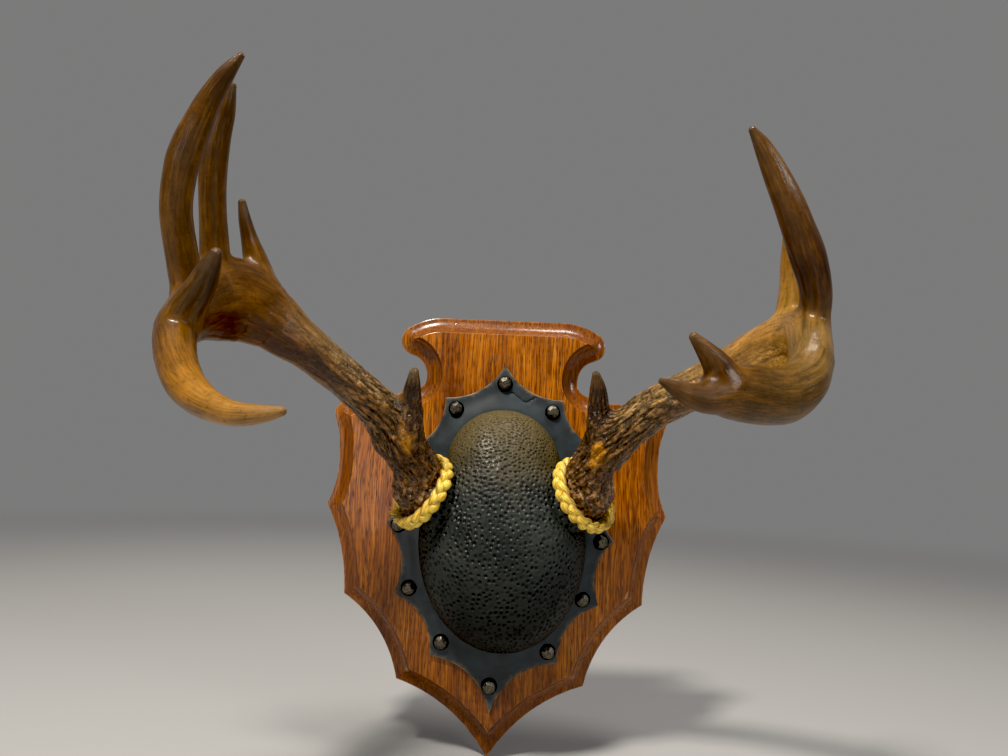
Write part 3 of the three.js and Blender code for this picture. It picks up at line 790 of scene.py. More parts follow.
# the moulded grain: round dimples about 4 mm apart on the body, closer and wider than tall on the upper lobe
here = np.flatnonzero((pebble > 0.05) & (n_out[:, 1] < 0.3))
pick = here[::6]
dents = pick[scattered(co[pick], 3.0 - 0.8 * lobe[pick], 77)]
tree = KDTree(len(dents))
for k, i in enumerate(dents):
    tree.insert(co[i], k)
tree.balance()
rng = np.random.default_rng(78)
dent_r = rng.uniform(1.15, 1.75, len(dents)) * (1 - 0.34 * lobe[dents])
dent_d = rng.uniform(0.55, 1.0, len(dents)) * np.where(rng.uniform(0, 1, len(dents)) < 0.1, 0.3, 1)
wander = co + np.stack([noise(co / 2.6, s) for s in (3, 4, 5)], 1) * 0.35
pit, rim = np.zeros(len(co)), np.zeros(len(co))
for i in here:
    for place, k, _ in tree.find_n(wander[i], 2):
        q = wander[i] - np.array(place)
        d = math.sqrt((q[0] * (1 - 0.25 * lobe[i])) ** 2 + q[1] ** 2 + (q[2] * (1 + 0.25 * lobe[i])) ** 2) / dent_r[k]
        if d < 1:
            pit[i] = max(pit[i], dent_d[k] * (1 - d * d))
        rim[i] = max(rim[i], dent_d[k] * math.exp(-((d - 1.22) / 0.22) ** 2))
smoothed = 1 - 0.6 * ease(noise(co / 19, 8), 0.4, 0.85)
depth = pebble * smoothed * (1.0 * pit * (1 - 0.25 * lobe) - 0.14 * rim * (1 - pit))
co = co - n_out * (depth - 0.24 * pebble * noise(co / 2.3, 7) - 0.25 * pebble * noise(co / 7.5, 17))[:, None]
move_to(dome, co)
store(dome, "pebble", pebble)
store(dome, "pit", np.clip(1.5 * pit * smoothed, 0, 1) * pebble)
store(dome, "lobe", lobe)

# flange: even triangles between the outline and just inside the dome's foot
step = 2.2
rim_levels = [(-(BOARD_T + GAP), 0.15), (-(BOARD_T + GAP) - 0.15, 0.0), (FLANGE_TOP + 0.75, 0.0),
              (FLANGE_TOP + 0.36, 0.1), (FLANGE_TOP + 0.1, 0.36), (FLANGE_TOP, 0.75)]
flange_rings = np.array([np.stack([q[:, 0], np.full(len(q), y), q[:, 1]], 1)
                         for y, d in rim_levels for q in [inset(flange_outline, d)]])
top = inset(flange_outline, 0.75)
gx, gz = np.meshgrid(np.arange(-90, 95, step), np.arange(-130, 130, step))
gx = gx + (np.arange(gx.shape[0])[:, None] % 2) * step / 2
grid = np.stack([gx.ravel(), gz.ravel()], 1)
grid = grid[inside(grid, top)]
grid = grid[edge_distance(grid, top) > 0.5 * step]
bend = spline([(p[0], 0, p[1], 0, 0) for p in BUCKLE], np.linspace(0, len(BUCKLE) - 1, 30))[:, [0, 2]]
side_way = unit(np.gradient(bend, axis=0))
side_way = np.stack([-side_way[:, 1], side_way[:, 0]], 1)
lines = np.vstack([bend + side_way * k for k in (-1.3, -0.5, 0, 0.5, 1.3)])
lines = lines[inside(lines, top) & (edge_distance(lines, top) > 0.4)]
clear = np.array([np.abs(np.linalg.norm(bend - g, axis=1)).min() > 1.9 for g in grid])
grid = np.vstack([grid[clear], lines])
pts = [Vector(p) for p in np.vstack([top, grid])]
nt = len(top)
cdt = delaunay_2d_cdt(pts, [(i, (i + 1) % nt) for i in range(nt)], [], 1, 1e-5)
fv = np.array([[v.x, v.y] for v in cdt[0]])
ft = np.array([t for t in cdt[2] if len(t) == 3])
origin = {tuple(np.round(p, 4)): i for i, p in enumerate(top)}
edge_in = edge_distance(fv, top)
sway = np.stack([fv[:, 0] / 34, np.full(len(fv), 0.3), fv[:, 1] / 34], 1)
from_dome = np.where(inside(fv, dome_outline), 0, edge_distance(fv, dome_outline))
lift = ease(edge_in, 0, 6) * ease(from_dome, 5, 12) * (0.45 * noise(sway, 21) + 0.15 * noise(sway * 3.1, 22))
lift += 3.4 * ease(edge_in, 0, 12) * (1 - ease(from_dome, -5, 17))
to_bend = np.array([np.linalg.norm(bend - q, axis=1).min() for q in fv])
above = np.array([(q - bend[np.linalg.norm(bend - q, axis=1).argmin()])[1] for q in fv])
lift += ease(edge_in, 0, 2) * (-0.5 * np.exp(-(to_bend / 0.55) ** 2) + 0.35 * np.exp(-(to_bend / 3.2) ** 2) * (above > 0))
y_top = FLANGE_TOP - lift
rings_n = flange_rings.shape[1]
co_r, faces_r = tube(flange_rings, False, False)
# the last ring and the top sheet share their points
last_ring = (len(rim_levels) - 1) * rings_n
index = np.empty(len(fv), int)
extra = []
for i, p in enumerate(fv):
    key = tuple(np.round(p, 4))
    if key in origin:
        index[i] = last_ring + origin[key]
    else:
        index[i] = len(co_r) + len(extra)
        extra.append((p[0], y_top[i], p[1]))
co_f = np.vstack([co_r, np.array(extra)])
back = np.arange(rings_n)[None, ::-1]
flange = mesh_object("skull_cover_flange", co_f, faces_r + [index[ft], back])
bm = bmesh.new()
bm.from_mesh(flange.data)
bmesh.ops.recalc_face_normals(bm, faces=bm.faces)
bmesh.ops.triangulate(bm, faces=[f for f in bm.faces if len(f.verts) > 4])
bm.to_mesh(flange.data)
bm.free()
for poly in flange.data.polygons:
    poly.use_smooth = True
flange.data.set_sharp_from_angle(angle=math.radians(40))
co = coords(flange)
store(flange, "edge", 1 - ease(edge_distance(co[:, [0, 2]], flange_outline), 0.25, 1.1))
store(flange, "pebble", np.zeros(len(co)))


# ---------- hammered stud heads ----------
def stud_mesh(seed):
    rng = np.random.default_rng(seed)
    # flats struck round a low dome: one on top, six on the shoulder, nine round the side
    nrm, off = [], []
    for count, tilt, low, high in ((1, 0.10, 0.90, 0.92), (6, 0.66, 0.89, 0.94), (9, 1.22, 0.92, 0.97)):
        turn = rng.uniform(0, 6.28)
        for k in range(count):
            t = tilt + rng.uniform(-0.11, 0.11) * (count > 1)
            spin = turn + 2 * math.pi * (k + rng.uniform(-0.18, 0.18)) / count
            v = np.array([math.sin(t) * math.cos(spin), math.sin(t) * math.sin(spin), math.cos(t)])
            support = math.sqrt((STUD_R * v[0]) ** 2 + (STUD_R * v[1]) ** 2 + (STUD_H * v[2]) ** 2)
            nrm.append(v)
            off.append(support * rng.uniform(low, high))
    nrm, off = np.array(nrm), np.array(off)
    rows, m = [], 72
    spin = 2 * np.pi * np.arange(m) / m
    for q in np.r_[0.004, np.linspace(0.05, 1, 30)]:
        tilt = q * math.radians(91)
        u = np.stack([math.sin(tilt) * np.cos(spin), math.sin(tilt) * np.sin(spin), np.full(m, math.cos(tilt))], 1)
        base = 1 / np.sqrt((u[:, 0] / STUD_R) ** 2 + (u[:, 1] / STUD_R) ** 2 + (u[:, 2] / STUD_H) ** 2)
        hit = off[None] / np.maximum(u @ nrm.T, 1e-3)
        r = np.minimum(base, hit.min(1))
        soft = -np.log(np.exp(-(np.c_[base, hit] - r[:, None]) * 26).sum(1)) / 26 + r
        rows.append(u * soft[:, None])
    rim = rows[-1]
    rim_r = np.linalg.norm(rim[:, :2], axis=1, keepdims=True)
    for scale, z in ((1.0, -0.25), (0.985, -0.5), (0.9, -0.62)):
        r = rim[:, :2] / rim_r * np.minimum(rim_r * 1.0, STUD_R) * scale
        rows.append(np.c_[r, np.full(m, z)])
    rings = np.array(rows)
    # dome axis is -Y; local x, y, z become x, z, -y
    out = np.stack([rings[..., 0], -rings[..., 2], rings[..., 1]], -1)
    return tube(out)


studs = []
for k, (name, (x, z)) in enumerate(STUDS.items()):
    co, faces = stud_mesh(100 + k)
    co = co + np.array([x, FLANGE_TOP - GAP - 0.35, z])
    ob = mesh_object("stud_head_" + name, co, faces)
    bm = bmesh.new()
    bm.from_mesh(ob.data)
    bmesh.ops.recalc_face_normals(bm, faces=bm.faces)
    bm.to_mesh(ob.data)
    bm.free()
    ob.data.set_sharp_from_angle(angle=math.radians(50))
    far = np.linalg.norm(co[:, [0, 2]] - np.array([x, z]), axis=1)
    # rim: the head's outer edge, painted dark as shade where the head meets the flange
    store(ob, "rim", ease(far, 3.6, 5.3))
    studs.append((ob, name))


# ---------- plaited trim ----------
PLAITS = 6                                        # turns of the plait round each ring
STRAND = 2.5


def plait(side):
    at, axis = np.array(RING[side]["at"], float), unit(np.array(RING[side]["axis"], float))
    e1 = unit(np.cross(axis, (0, 0, 1)))
    e2 = np.cross(axis, e1)
    m, sides = PLAITS * 44, 28
    parts, lies, sunk_shade = [], [], []
    for k in range(3):
        u = 2 * np.pi * np.arange(m) / m
        ph = PLAITS * u + 2 * np.pi * k / 3
        rnd = np.stack([np.cos(u) * 2.2, np.sin(u) * 2.2, np.full(m, 5.0 * k)], 1)
        wob = 0.34 * noise(rnd, 31), 0.26 * noise(rnd, 33)
        x = 2.3 * np.sin(ph) + wob[0]
        y = 1.5 * np.sin(2 * ph) + wob[1]
        radial = np.cos(u)[:, None] * e1 + np.sin(u)[:, None] * e2
        c = at + radial * (ROPE_R + y)[:, None] + axis * x[:, None]
        T = unit(np.roll(c, -1, 0) - np.roll(c, 1, 0))
        A = unit(radial - T * (T * radial).sum(1)[:, None])
        B = np.cross(T, A)
        f = 2 * np.pi * np.arange(sides) / sides
        swell = 1 + 0.14 * np.sin(2 * ph)[:, None] + 0.07 * noise(rnd * 3, 35)[:, None]
        yarn = 0.16 * np.abs(np.cos(5 * f[None] + 2.4 * PLAITS * u[:, None]))
        ra = (STRAND * 0.74 * swell - 0.12 + yarn)
        rb = (STRAND * 1.16 * swell - 0.12 + yarn)
        ring = (c[:, None] + (ra * np.cos(f))[..., None] * A[:, None] + (rb * np.sin(f))[..., None] * B[:, None])
        parts.append(tube(ring, closed_loop=True))
        heart = at + radial * ROPE_R
        out = ring - heart[:, None]
        off_x = (out * axis).sum(-1)
        off_y = (out * radial[:, None]).sum(-1)
        # painted shade in the crevices between the strands and along each lobe's edges, where it tucks under its
        # neighbour
        lobe_edge = 0.7 * ease(np.abs(np.sin(f))[None], 0.70, 0.98) * np.ones((m, 1))
        sunk_shade.append(np.maximum(1 - ease(np.hypot(off_x * 0.8, off_y), 1.6, 2.9), lobe_edge).ravel())
        run = np.broadcast_to((u * ROPE_R + 300 * k)[:, None], (m, sides))
        ang = np.broadcast_to(f[None], (m, sides))
        lies.append(np.stack([run, np.cos(ang) * STRAND, np.sin(ang) * STRAND], -1).reshape(-1, 3))
    return parts, lies, sunk_shade


def fray(side, around, count, seed):
    """Loose yarn ends where the trim was cut and tucked."""
    rng = np.random.default_rng(seed)
    at, axis = np.array(RING[side]["at"], float), unit(np.array(RING[side]["axis"], float))
    e1 = unit(np.cross(axis, (0, 0, 1)))
    e2 = np.cross(axis, e1)
    parts, lies = [], []
    for k in range(count):
        a = around + rng.uniform(-0.07, 0.07)
        radial = math.cos(a) * e1 + math.sin(a) * e2
        along = -math.sin(a) * e1 + math.cos(a) * e2
        p = at + radial * (ROPE_R + rng.uniform(-1, 1.5)) + axis * rng.uniform(2.0, 4.6)
        d = unit(radial * rng.uniform(-0.1, 0.5) + axis * rng.uniform(0.6, 1.0) + along * rng.uniform(-0.9, 0.3))
        bend = unit(np.cross(d, radial)) * rng.uniform(-1.5, 1.5)
        length, r = rng.uniform(3.5, 7.5), rng.uniform(0.26, 0.44)
        t = np.linspace(0, 1, 9)[:, None]
        c = p + d * length * t + bend * t ** 2 + np.array([0, 0, -0.9]) * t ** 2
        T = unit(np.gradient(c, axis=0))
        A = unit(np.cross(T, (0.3, 0.8, 0.2)))
        B = np.cross(T, A)
        f = 2 * np.pi * np.arange(7) / 7
        w = r * (1 - 0.55 * t[:, 0] ** 2)
        ring = (c[:, None] + (w[:, None] * np.cos(f))[..., None] * A[:, None]
                + (w[:, None] * np.sin(f))[..., None] * B[:, None])
        parts.append(tube(ring))
        lies.append(np.stack([np.full(9 * 7 + 2, 40.0 * k), np.full(65, 0.2), np.full(65, 0.2)], -1))
    return parts, lies


ropes = []
for side in ("left", "right"):
    parts, lies, sunk_shade = plait(side)
    if side == "left":
        extra, more = fray(side, 0.95, 9, 5)
        parts += extra
        lies += more
        sunk_shade += [np.zeros(len(m)) for m in more]
    co, faces = joined(parts)
    ob = mesh_object("rope_plait_" + side, co, faces)
    bm = bmesh.new()
    bm.from_mesh(ob.data)
    bmesh.ops.recalc_face_normals(bm, faces=bm.faces)
    bm.to_mesh(ob.data)
    bm.free()
    store(ob, "lie", np.concatenate(lies))
    store(ob, "sunk_shade", np.concatenate(sunk_shade))
    ropes.append((ob, side))


# ---------- antlers ----------
TINE_BLEND = {"g3": 3.6, "g2": 3.6, "sticker": 5, "g4": 3.4, "brow": 7}
HOOK_FROM = 9                                      # the beam curls forward from this station


def antler(side):
    at, axis = np.array(RING[side]["at"], float), np.array(RING[side]["axis"], float)
    L = LIMBS[side]
    first = np.array(L["beam"][0][:3], float)
    turn = at + 0.10 * (first - at) + axis * 1.0
    rows = [(*(at - 22 * axis), 13.5, 13.5), (*(at - 8 * axis), 17.8, 17.8), (*turn, 18.1, 17.9)] + list(L["beam"])
    beam = Limb(rows[:HOOK_FROM + 5], UP)
    hook = Limb(L["beam"][HOOK_FROM:], UP)
    burr = beam.s[np.argmin(np.linalg.norm(beam.c - at, axis=1))]
    hook_s = beam.s[np.argmin(np.linalg.norm(beam.c - hook.c[0], axis=1))]
    limbs = [("beam", beam)] + [(k, Limb(v, OUT)) for k, v in L.items() if k != "beam"]
    parts = [tube(hook.rings(2, 32, grow=0.25))]
    for name, limb in limbs:
        parts.append(tube(limb.rings(2, 36 if name == "beam" else 28, grow=0.25)))
    co, faces = joined(parts)
    ob = mesh_object(f"antler_{side}_bone", co, faces)
    bm = bmesh.new()
    bm.from_mesh(ob.data)
    bmesh.ops.recalc_face_normals(bm, faces=bm.faces)
    bm.to_mesh(ob.data)
    bm.free()
    fuse(ob, 0.95)
    # a finer skin where the bark is rough
    bm = bmesh.new()
    bm.from_mesh(ob.data)
    near = []
    for face in bm.faces:
        m = face.calc_center_median() * 1000
        if (m.x - at[0]) ** 2 + (m.y - at[1]) ** 2 + (m.z - at[2]) ** 2 < 92 ** 2 and m.y < -36:
            near.append(face)
    edges = list({e for face in near for e in face.edges})
    bmesh.ops.subdivide_edges(bm, edges=edges, cuts=1, use_grid_fill=True)
    bmesh.ops.triangulate(bm, faces=[face for face in bm.faces if len(face.verts) > 4])
    bm.to_mesh(ob.data)
    bm.free()
    co = coords(ob)

    def field(p):
        d, g, s, ang = beam.measure(p)
        d2, g2, s2, ang2 = hook.measure(p)
        on = d2 < d
        got = [("beam", np.minimum(d, d2), np.where(on, s2 + hook_s, s), np.where(on, ang2, ang))]
        h = np.clip(0.5 + 0.5 * (d - d2) / 2.4, 0, 1)[:, None]
        D = d * (1 - h[:, 0]) + d2 * h[:, 0] - 2.4 * h[:, 0] * (1 - h[:, 0])
        G = g * (1 - h) + g2 * h
        for name, limb in limbs[1:]:
            k = TINE_BLEND[name]
            d, g, s, ang = limb.measure(p)
            got.append((name, d, s, ang))
            h = np.clip(0.5 + 0.5 * (D - d) / k, 0, 1)[:, None]
            D = (D * (1 - h[:, 0]) + d * h[:, 0]) - k * h[:, 0] * (1 - h[:, 0])
            G = G * (1 - h) + g * h
        return D, G, got

    for _ in range(4):
        D, G, got = field(co)
        size = np.maximum((G ** 2).sum(1), 0.35)
        co = co - np.clip(D / size, -2.5, 2.5)[:, None] * G
    co = relax(ob, co, 2)
    D, G, got = field(co)
    co = co - (D / np.maximum((G ** 2).sum(1), 0.35))[:, None] * G
    D, G, got = field(co)
    N = unit(G)

    # which limb each point belongs to
    names = [g[0] for g in got]
    dist = np.stack([g[1] for g in got], 1)
    share = np.exp(-(dist - dist.min(1, keepdims=True)) / 2.6)
    share /= share.sum(1, keepdims=True)
    s_beam = got[0][2] - burr
    tine = dist[:, 1:].argmin(1)
    s_tine = np.choose(tine, [g[2] for g in got[1:]])
    a_tine = np.choose(tine, [g[3] for g in got[1:]])
    len_tine = np.choose(tine, [l.length for _, l in limbs[1:]])
    w_tine = 1 - share[:, 0]
    s_end = s_beam.max()

    def lie(ang, s, r):
        return np.stack([np.cos(ang) * r, np.sin(ang) * r, s], 1)

    lie_b = lie(got[0][3], s_beam, 14)
    lie_t = lie(a_tine + tine * 2.1, s_tine + 70 * (tine + 1), 8)

    # rough bark-like grooves on the beam, fading towards the tips
    def grooves(l, across, along_, seed):
        drift = np.stack([noise(l / (30, 30, 40), seed + 5), noise(l / (30, 30, 40), seed + 6), np.zeros(len(l))], 1)
        q = l / (across, across, along_) + drift * 0.9
        a = 1 - np.abs(noise(q, seed))             # crest where the noise crosses zero
        b = noise(q * (2.1, 2.1, 1.7), seed + 1)
        return np.clip(a, 0, 1) ** 3, b

    crest_b, fine_b = grooves(lie_b, 3.3, 22, 41 if side == "left" else 51)
    crest_t, fine_t = grooves(lie_t, 4.2, 36, 43 if side == "left" else 53)
    amp_b = (1.5 * (0.10 + 0.90 * ease(s_beam, 12, 40)) * (1 - ease(s_beam, 48, 120)) + 0.55 * (1 - ease(s_beam, 120, 215)) + 0.12 * (1 - ease(s_beam, 250, 400))
             + 0.02)
    names_t = names[1:]
    brow = np.isin(tine, [names_t.index("brow")])
    rough_t = np.where(brow, 0.85 * (1 - ease(s_tine, 26, 56)) + 0.35, 0.14 * (1 - ease(s_tine, 15, 60)) + 0.05)
    amp = (1 - w_tine) * amp_b + w_tine * rough_t
    groove = (1 - w_tine) * amp_b * (crest_b * 0.95 + 0.5 * np.maximum(-fine_b, 0)) + w_tine * rough_t * (
        crest_t * 0.95 + 0.45 * np.maximum(-fine_t, 0))

    # pearls: raised beads near the base, smaller up the beam and the foot of the brow tine
    q = (co + 0.8 * np.stack([noise(co / 6, 61), noise(co / 6, 62), noise(co / 6, 63)], 1))
    wavy = lie_b + 1.3 * np.stack([noise(co / 7, 67), noise(co / 7, 68), 1.6 * noise(co / 9, 69)], 1)
    f1, f2, own = cells(wavy / (3.3, 3.3, 6.4), 64)
    bead = np.clip(1 - (f1 / 0.66) ** 2, 0, 1) * np.where(own > 0.22, 0.55 + 0.45 * own, 0.12)
    foot = np.maximum(1 - ease(s_beam, 40, 84), brow * w_tine * (1 - ease(s_tine, 14, 36)))
    foot = np.where(s_beam < 95, foot, 0)
    g1, g2, own2 = cells(q / 2.7, 65)
    grit = np.clip(1 - (g1 / 0.6) ** 2, 0, 1) * np.where(own2 > 0.5, 1, 0)
    along_beam = (1 - ease(s_beam, 90, 190)) * (1 - w_tine)
    burr_zone = (1 - ease(s_beam, 14, 38)) * (1 - w_tine)
    h1, h2, own3 = cells(q / (4.4, 4.4, 5.2), 68)
    pearl = np.clip(1 - (h1 / 0.62) ** 2, 0, 1) * np.where(own3 > 0.25, 0.5 + 0.5 * own3, 0.1)
    lump = foot * (1.5 * bead * (1 - 0.8 * burr_zone) + 0.35 * grit) + 1.7 * burr_zone * pearl + 0.34 * along_beam * grit
    # the coronet that the trim is tied against
    lean = unit((first - at) - axis * ((first - at) @ axis))
    below = np.clip(-(N @ lean), 0, 1)
    lump = lump + (1 - w_tine) * 1.0 * np.exp(-((s_beam - 5) / 6) ** 2) * (0.88 + 0.30 * noise(lie_b / (5, 5, 30), 66))
    swell = 0.22 * noise(co / 16, 71) * (0.35 + 0.65 * (1 - w_tine)) * (1 - ease(s_beam, 330, 430))
    # a furrow under the beam, from above the pearls to the palm
    down = np.cos(got[0][3] - UNDER_AT[side] - 0.35 * ease(s_beam, 195, 240) * (side == "left"))
    furrow = ease(down, 0.89, 0.94) * ease(s_beam, 96, 124) * (1 - ease(s_beam, 226, 256)) * (1 - w_tine)
    edge_line = 0.7 * np.exp(-((down - 0.885) / 0.02) ** 2) * ease(s_beam, 96, 124) * (1 - ease(s_beam, 226, 256)) * (1 - w_tine)
    groove = groove + 0.8 * furrow
    # the flattened palm has fibrous furrows running from the beam up into the tines
    palm = np.exp(-((s_beam - PALM_AT[side]) / 46) ** 2) * (0.5 + 0.5 * (1 - w_tine))
    fibre = noise(lie_b / (2.3, 2.3, 16), 81) + 0.6 * noise(lie_b / (1.2, 1.2, 9), 82)
    groove = groove + palm * 0.20 * np.maximum(fibre, 0)
    scoop = np.zeros(len(co))
    for x, y, z, wide, deep_by in HOLLOWS[side]:
        out = np.sqrt((((co - (x, y, z)) / (wide, 1.8 * wide, 0.85 * wide)) ** 2).sum(1))
        scoop = np.maximum(scoop, deep_by * (1 - ease(out, 0.25, 1.0)))
    hollow = np.clip(scoop / 2.4, 0, 1)
    groove = groove + scoop + hollow * 0.75 * np.maximum(fibre, 0)
    # folds where one limb passes in front of another: a groove carved along each line where a depth is given, and
    # painted shade along it
    fold_shade = np.zeros(len(co))
    for line, deep_by, wide in FOLDS[side]:
        line = np.array(line, float)
        t = np.linspace(0, len(line) - 1, 12 * (len(line) - 1) + 1)
        way = spline(np.c_[line, np.zeros((len(line), 2))], t)[:, :3]
        run = unit(np.gradient(way, axis=0))
        j = (((co[:, None] - way[None, ::3]) ** 2).sum(-1)).argmin(1) * 3
        gap = co - way[j]
        off = np.linalg.norm(gap - run[j] * (gap * run[j]).sum(1)[:, None], axis=1)
        away = (np.cross(run[j], N) * gap).sum(1)
        past = np.linalg.norm(gap, axis=1) - off
        ends_off = np.minimum(j / 8, (len(way) - 1 - j) / 8).clip(0.15, 1)
        one_sided = np.where(away > 0, np.exp(-(off / wide) ** 2), np.exp(-(off / 0.8) ** 2)) * np.exp(-(past / 4) ** 2)
        groove = groove + deep_by * one_sided * ends_off
        fold_shade = np.maximum(fold_shade, 0.75 * np.exp(-(off / 1.9) ** 2) * np.exp(-(past / 4) ** 2) * ends_off)
    co = co + N * (lump - groove + swell)[:, None]
    move_to(ob, co)

    # ---- colour of each place ----
    def tones(s, stops):
        xs = [k[0] for k in stops]
        return np.stack([np.interp(s, xs, [srgb(*k[1])[c] for k in stops]) for c in range(3)], 1)

    beam_tone = tones(s_beam, BEAM_TONES[side])
    tone = beam_tone * share[:, :1]
    for k, (name, limb) in enumerate(limbs[1:]):
        q = got[k + 1][2] / limb.length
        tone = tone + tones(q, TINE_TONES[side].get(name, TINE_TONES[side]["any"])) * share[:, k + 1:k + 2]
    stain = layers(co / 17, 91, 3)
    patch = layers(co / 9, 92, 2)
    here = np.array(GOLD_AT[side], float)
    way = unit(first - at)
    gap = co - here
    lift_ = gap @ way
    across = np.linalg.norm(gap - lift_[:, None] * way, axis=1)
    golden = np.exp(-(lift_ / 13) ** 2 - (across / 5.5) ** 2)
    gold = ease(0.5 * patch + 1.5 * golden, 0.42, 1.05) * (1 - ease(s_beam, 90, 140)) * np.where(s_beam < 8, 0.3, 1)
    dusty = np.exp(-((s_beam - 7) / 10) ** 2) * ease(0.5 * stain + 1.2 * layers(co / 4, 93, 2) + 0.45 * N[:, 2] + 0.22, 0.0, 0.4) * (1 - w_tine)
    tone = tone * (1 + 0.36 * stain[:, None])
    # painted light: the upper side of the beam is painted pale
    wear_and_lit_top = ease(np.cos(got[0][3] - UPPER_AT[side]), 0.62, 0.92) * ease(s_beam, 44, 84) * (1 - ease(s_beam, 110, 185)) * (1 - w_tine)
    tone = tone * (1 - 0.7 * wear_and_lit_top[:, None]) + 0.7 * wear_and_lit_top[:, None] * np.array(srgb(182, 152, 106))
    tone = tone * (1 - gold[:, None] * 0.85) + gold[:, None] * 0.85 * np.array(srgb(214, 152, 44))
    tone = tone * (1 - dusty[:, None] * 0.8) + dusty[:, None] * 0.8 * np.array(srgb(190, 154, 112))
    # red-brown in the furrow under the beam, tan fibres in the hollow
    tone = tone * (1 - 0.8 * furrow[:, None]) + 0.8 * furrow[:, None] * np.array(srgb(58, 22, 5))
    tone = tone * (1 - 0.7 * hollow[:, None]) + 0.7 * hollow[:, None] * np.array(srgb(196, 150, 82))
    near_end = np.maximum(ease(s_beam, s_end - 30, s_end) * (1 - w_tine), w_tine * ease(s_tine, len_tine - np.where(brow, 9, 18), len_tine))
    rough = np.clip(1 - ease(s_beam, 60, 190), 0, 1) * (1 - w_tine) + w_tine * brow * (1 - 0.6 * ease(s_tine, 26, 54))
    rough = np.maximum(rough, 0.45 * hollow)
    store(ob, "tone", np.c_[np.clip(tone, 0, 1), np.ones(len(tone))])
    store(ob, "lie_beam", lie_b)
    store(ob, "lie_tine", lie_t)
    store(ob, "tine", w_tine)
    store(ob, "rough", rough)
    store(ob, "knot", burr_zone)
    store(ob, "gold", gold)
    store(ob, "dusty", dusty)
    # painted shade: grooves, the gaps between the beads, the folds and the furrow's upper edge are painted dark; dark
    # fibre lines in the hollow
    valley = np.clip(crest_b, 0, 1) * (1 - w_tine) * np.clip(amp_b * 1.1, 0, 1) + w_tine * np.clip(crest_t, 0, 1) * np.clip(rough_t * 1.4, 0, 1)
    between = foot * (1 - np.clip(bead * 2.2, 0, 1)) * 0.45 * (1 - burr_zone) + 0.62 * burr_zone * (1 - np.clip(pearl * 2.4, 0, 1)) * (1 - 0.6 * gold)
    store(ob, "deep", np.clip(np.maximum(np.maximum(valley, between), fold_shade) + 0.5 * edge_line + 0.35 * hollow * ease(fibre, 0.2, 0.8), 0, 1))
    store(ob, "raised", np.clip(foot * ease(bead, 0.45, 0.95) * (1 - burr_zone) + burr_zone * ease(pearl, 0.35, 0.8) + 0.5 * grit * along_beam, 0, 1))
    store(ob, "ends", near_end)
    return ob


PALM_AT = {"left": 215, "right": 215}
# where the beam's underside faces, as an angle round it
UNDER_AT = {"left": -2.44, "right": 3.05}
UPPER_AT = {"left": -0.9, "right": 1.3}
GOLD_AT = {"left": (-61, -86, 64), "right": (64, -86, 59)}
# scooped places: middle, reach in x, y, z, depth
HOLLOWS = {"left": [], "right": [(144, -172, 117, 16, 2.6)]}
# folds: points along the line, depth, width of the side that falls away. Painted shade runs along each line.
FOLDS = {
    "left": [([(-131.9, -238, 148), (-134.1, -236.6, 140.7), (-137.9, -233.5, 132.6), (-144.1, -226.1, 121.9),
               (-149.1, -220.1, 113)], 0.0, 3)],
    "right": [([(139, -212.5, 172), (145.7, -209.2, 158.2), (151, -203.3, 149.4), (155.1, -198.1, 137.6),
                (153.7, -201.9, 130.6), (151.4, -207.7, 122.8)], 0.5, 3)],
}
BEAM_TONES = {
    "left": [(0, (120, 82, 48)), (25, (130, 88, 48)), (60, (152, 108, 58)), (95, (168, 124, 70)), (150, (130, 86, 40)),
             (210, (96, 62, 22)), (262, (96, 62, 18)), (300, (142, 98, 30)), (350, (158, 118, 64)),
             (400, (164, 134, 104)), (440, (166, 134, 100)), (470, (96, 68, 48))],
    "right": [(0, (112, 74, 44)), (25, (124, 82, 44)), (60, (158, 114, 66)), (100, (176, 132, 80)), (150, (172, 126, 74)),
              (205, (170, 130, 74)), (226, (130, 102, 60)), (262, (98, 74, 38)), (300, (90, 62, 22)), (350, (100, 68, 22)),
              (400, (108, 72, 28)), (440, (118, 86, 46)), (470, (84, 60, 42))],
}
TINE_TONES = {
    "left": {"any": [(0, (118, 80, 18)), (0.35, (100, 66, 12)), (0.7, (84, 54, 14)), (0.93, (72, 48, 24)), (1, (84, 62, 42))],
             "g4": [(0, (130, 92, 32)), (0.5, (86, 58, 22)), (1, (76, 54, 32))],
             "brow": [(0, (104, 62, 24)), (0.4, (84, 48, 18)), (0.85, (62, 36, 16)), (1, (150, 130, 104))]},
    "right": {"any": [(0, (118, 80, 30)), (0.3, (62, 30, 6)), (0.65, (100, 66, 24)), (0.93, (98, 68, 34)), (1, (96, 72, 46))],
              "g2": [(0, (190, 150, 80)), (0.4, (156, 110, 40)), (1, (124, 90, 44))],
              "brow": [(0, (96, 60, 26)), (0.4, (100, 62, 26)), (0.85, (84, 54, 30)), (1, (120, 92, 64))]},
}
antlers = [(antler(side), side) for side in ("left", "right")]


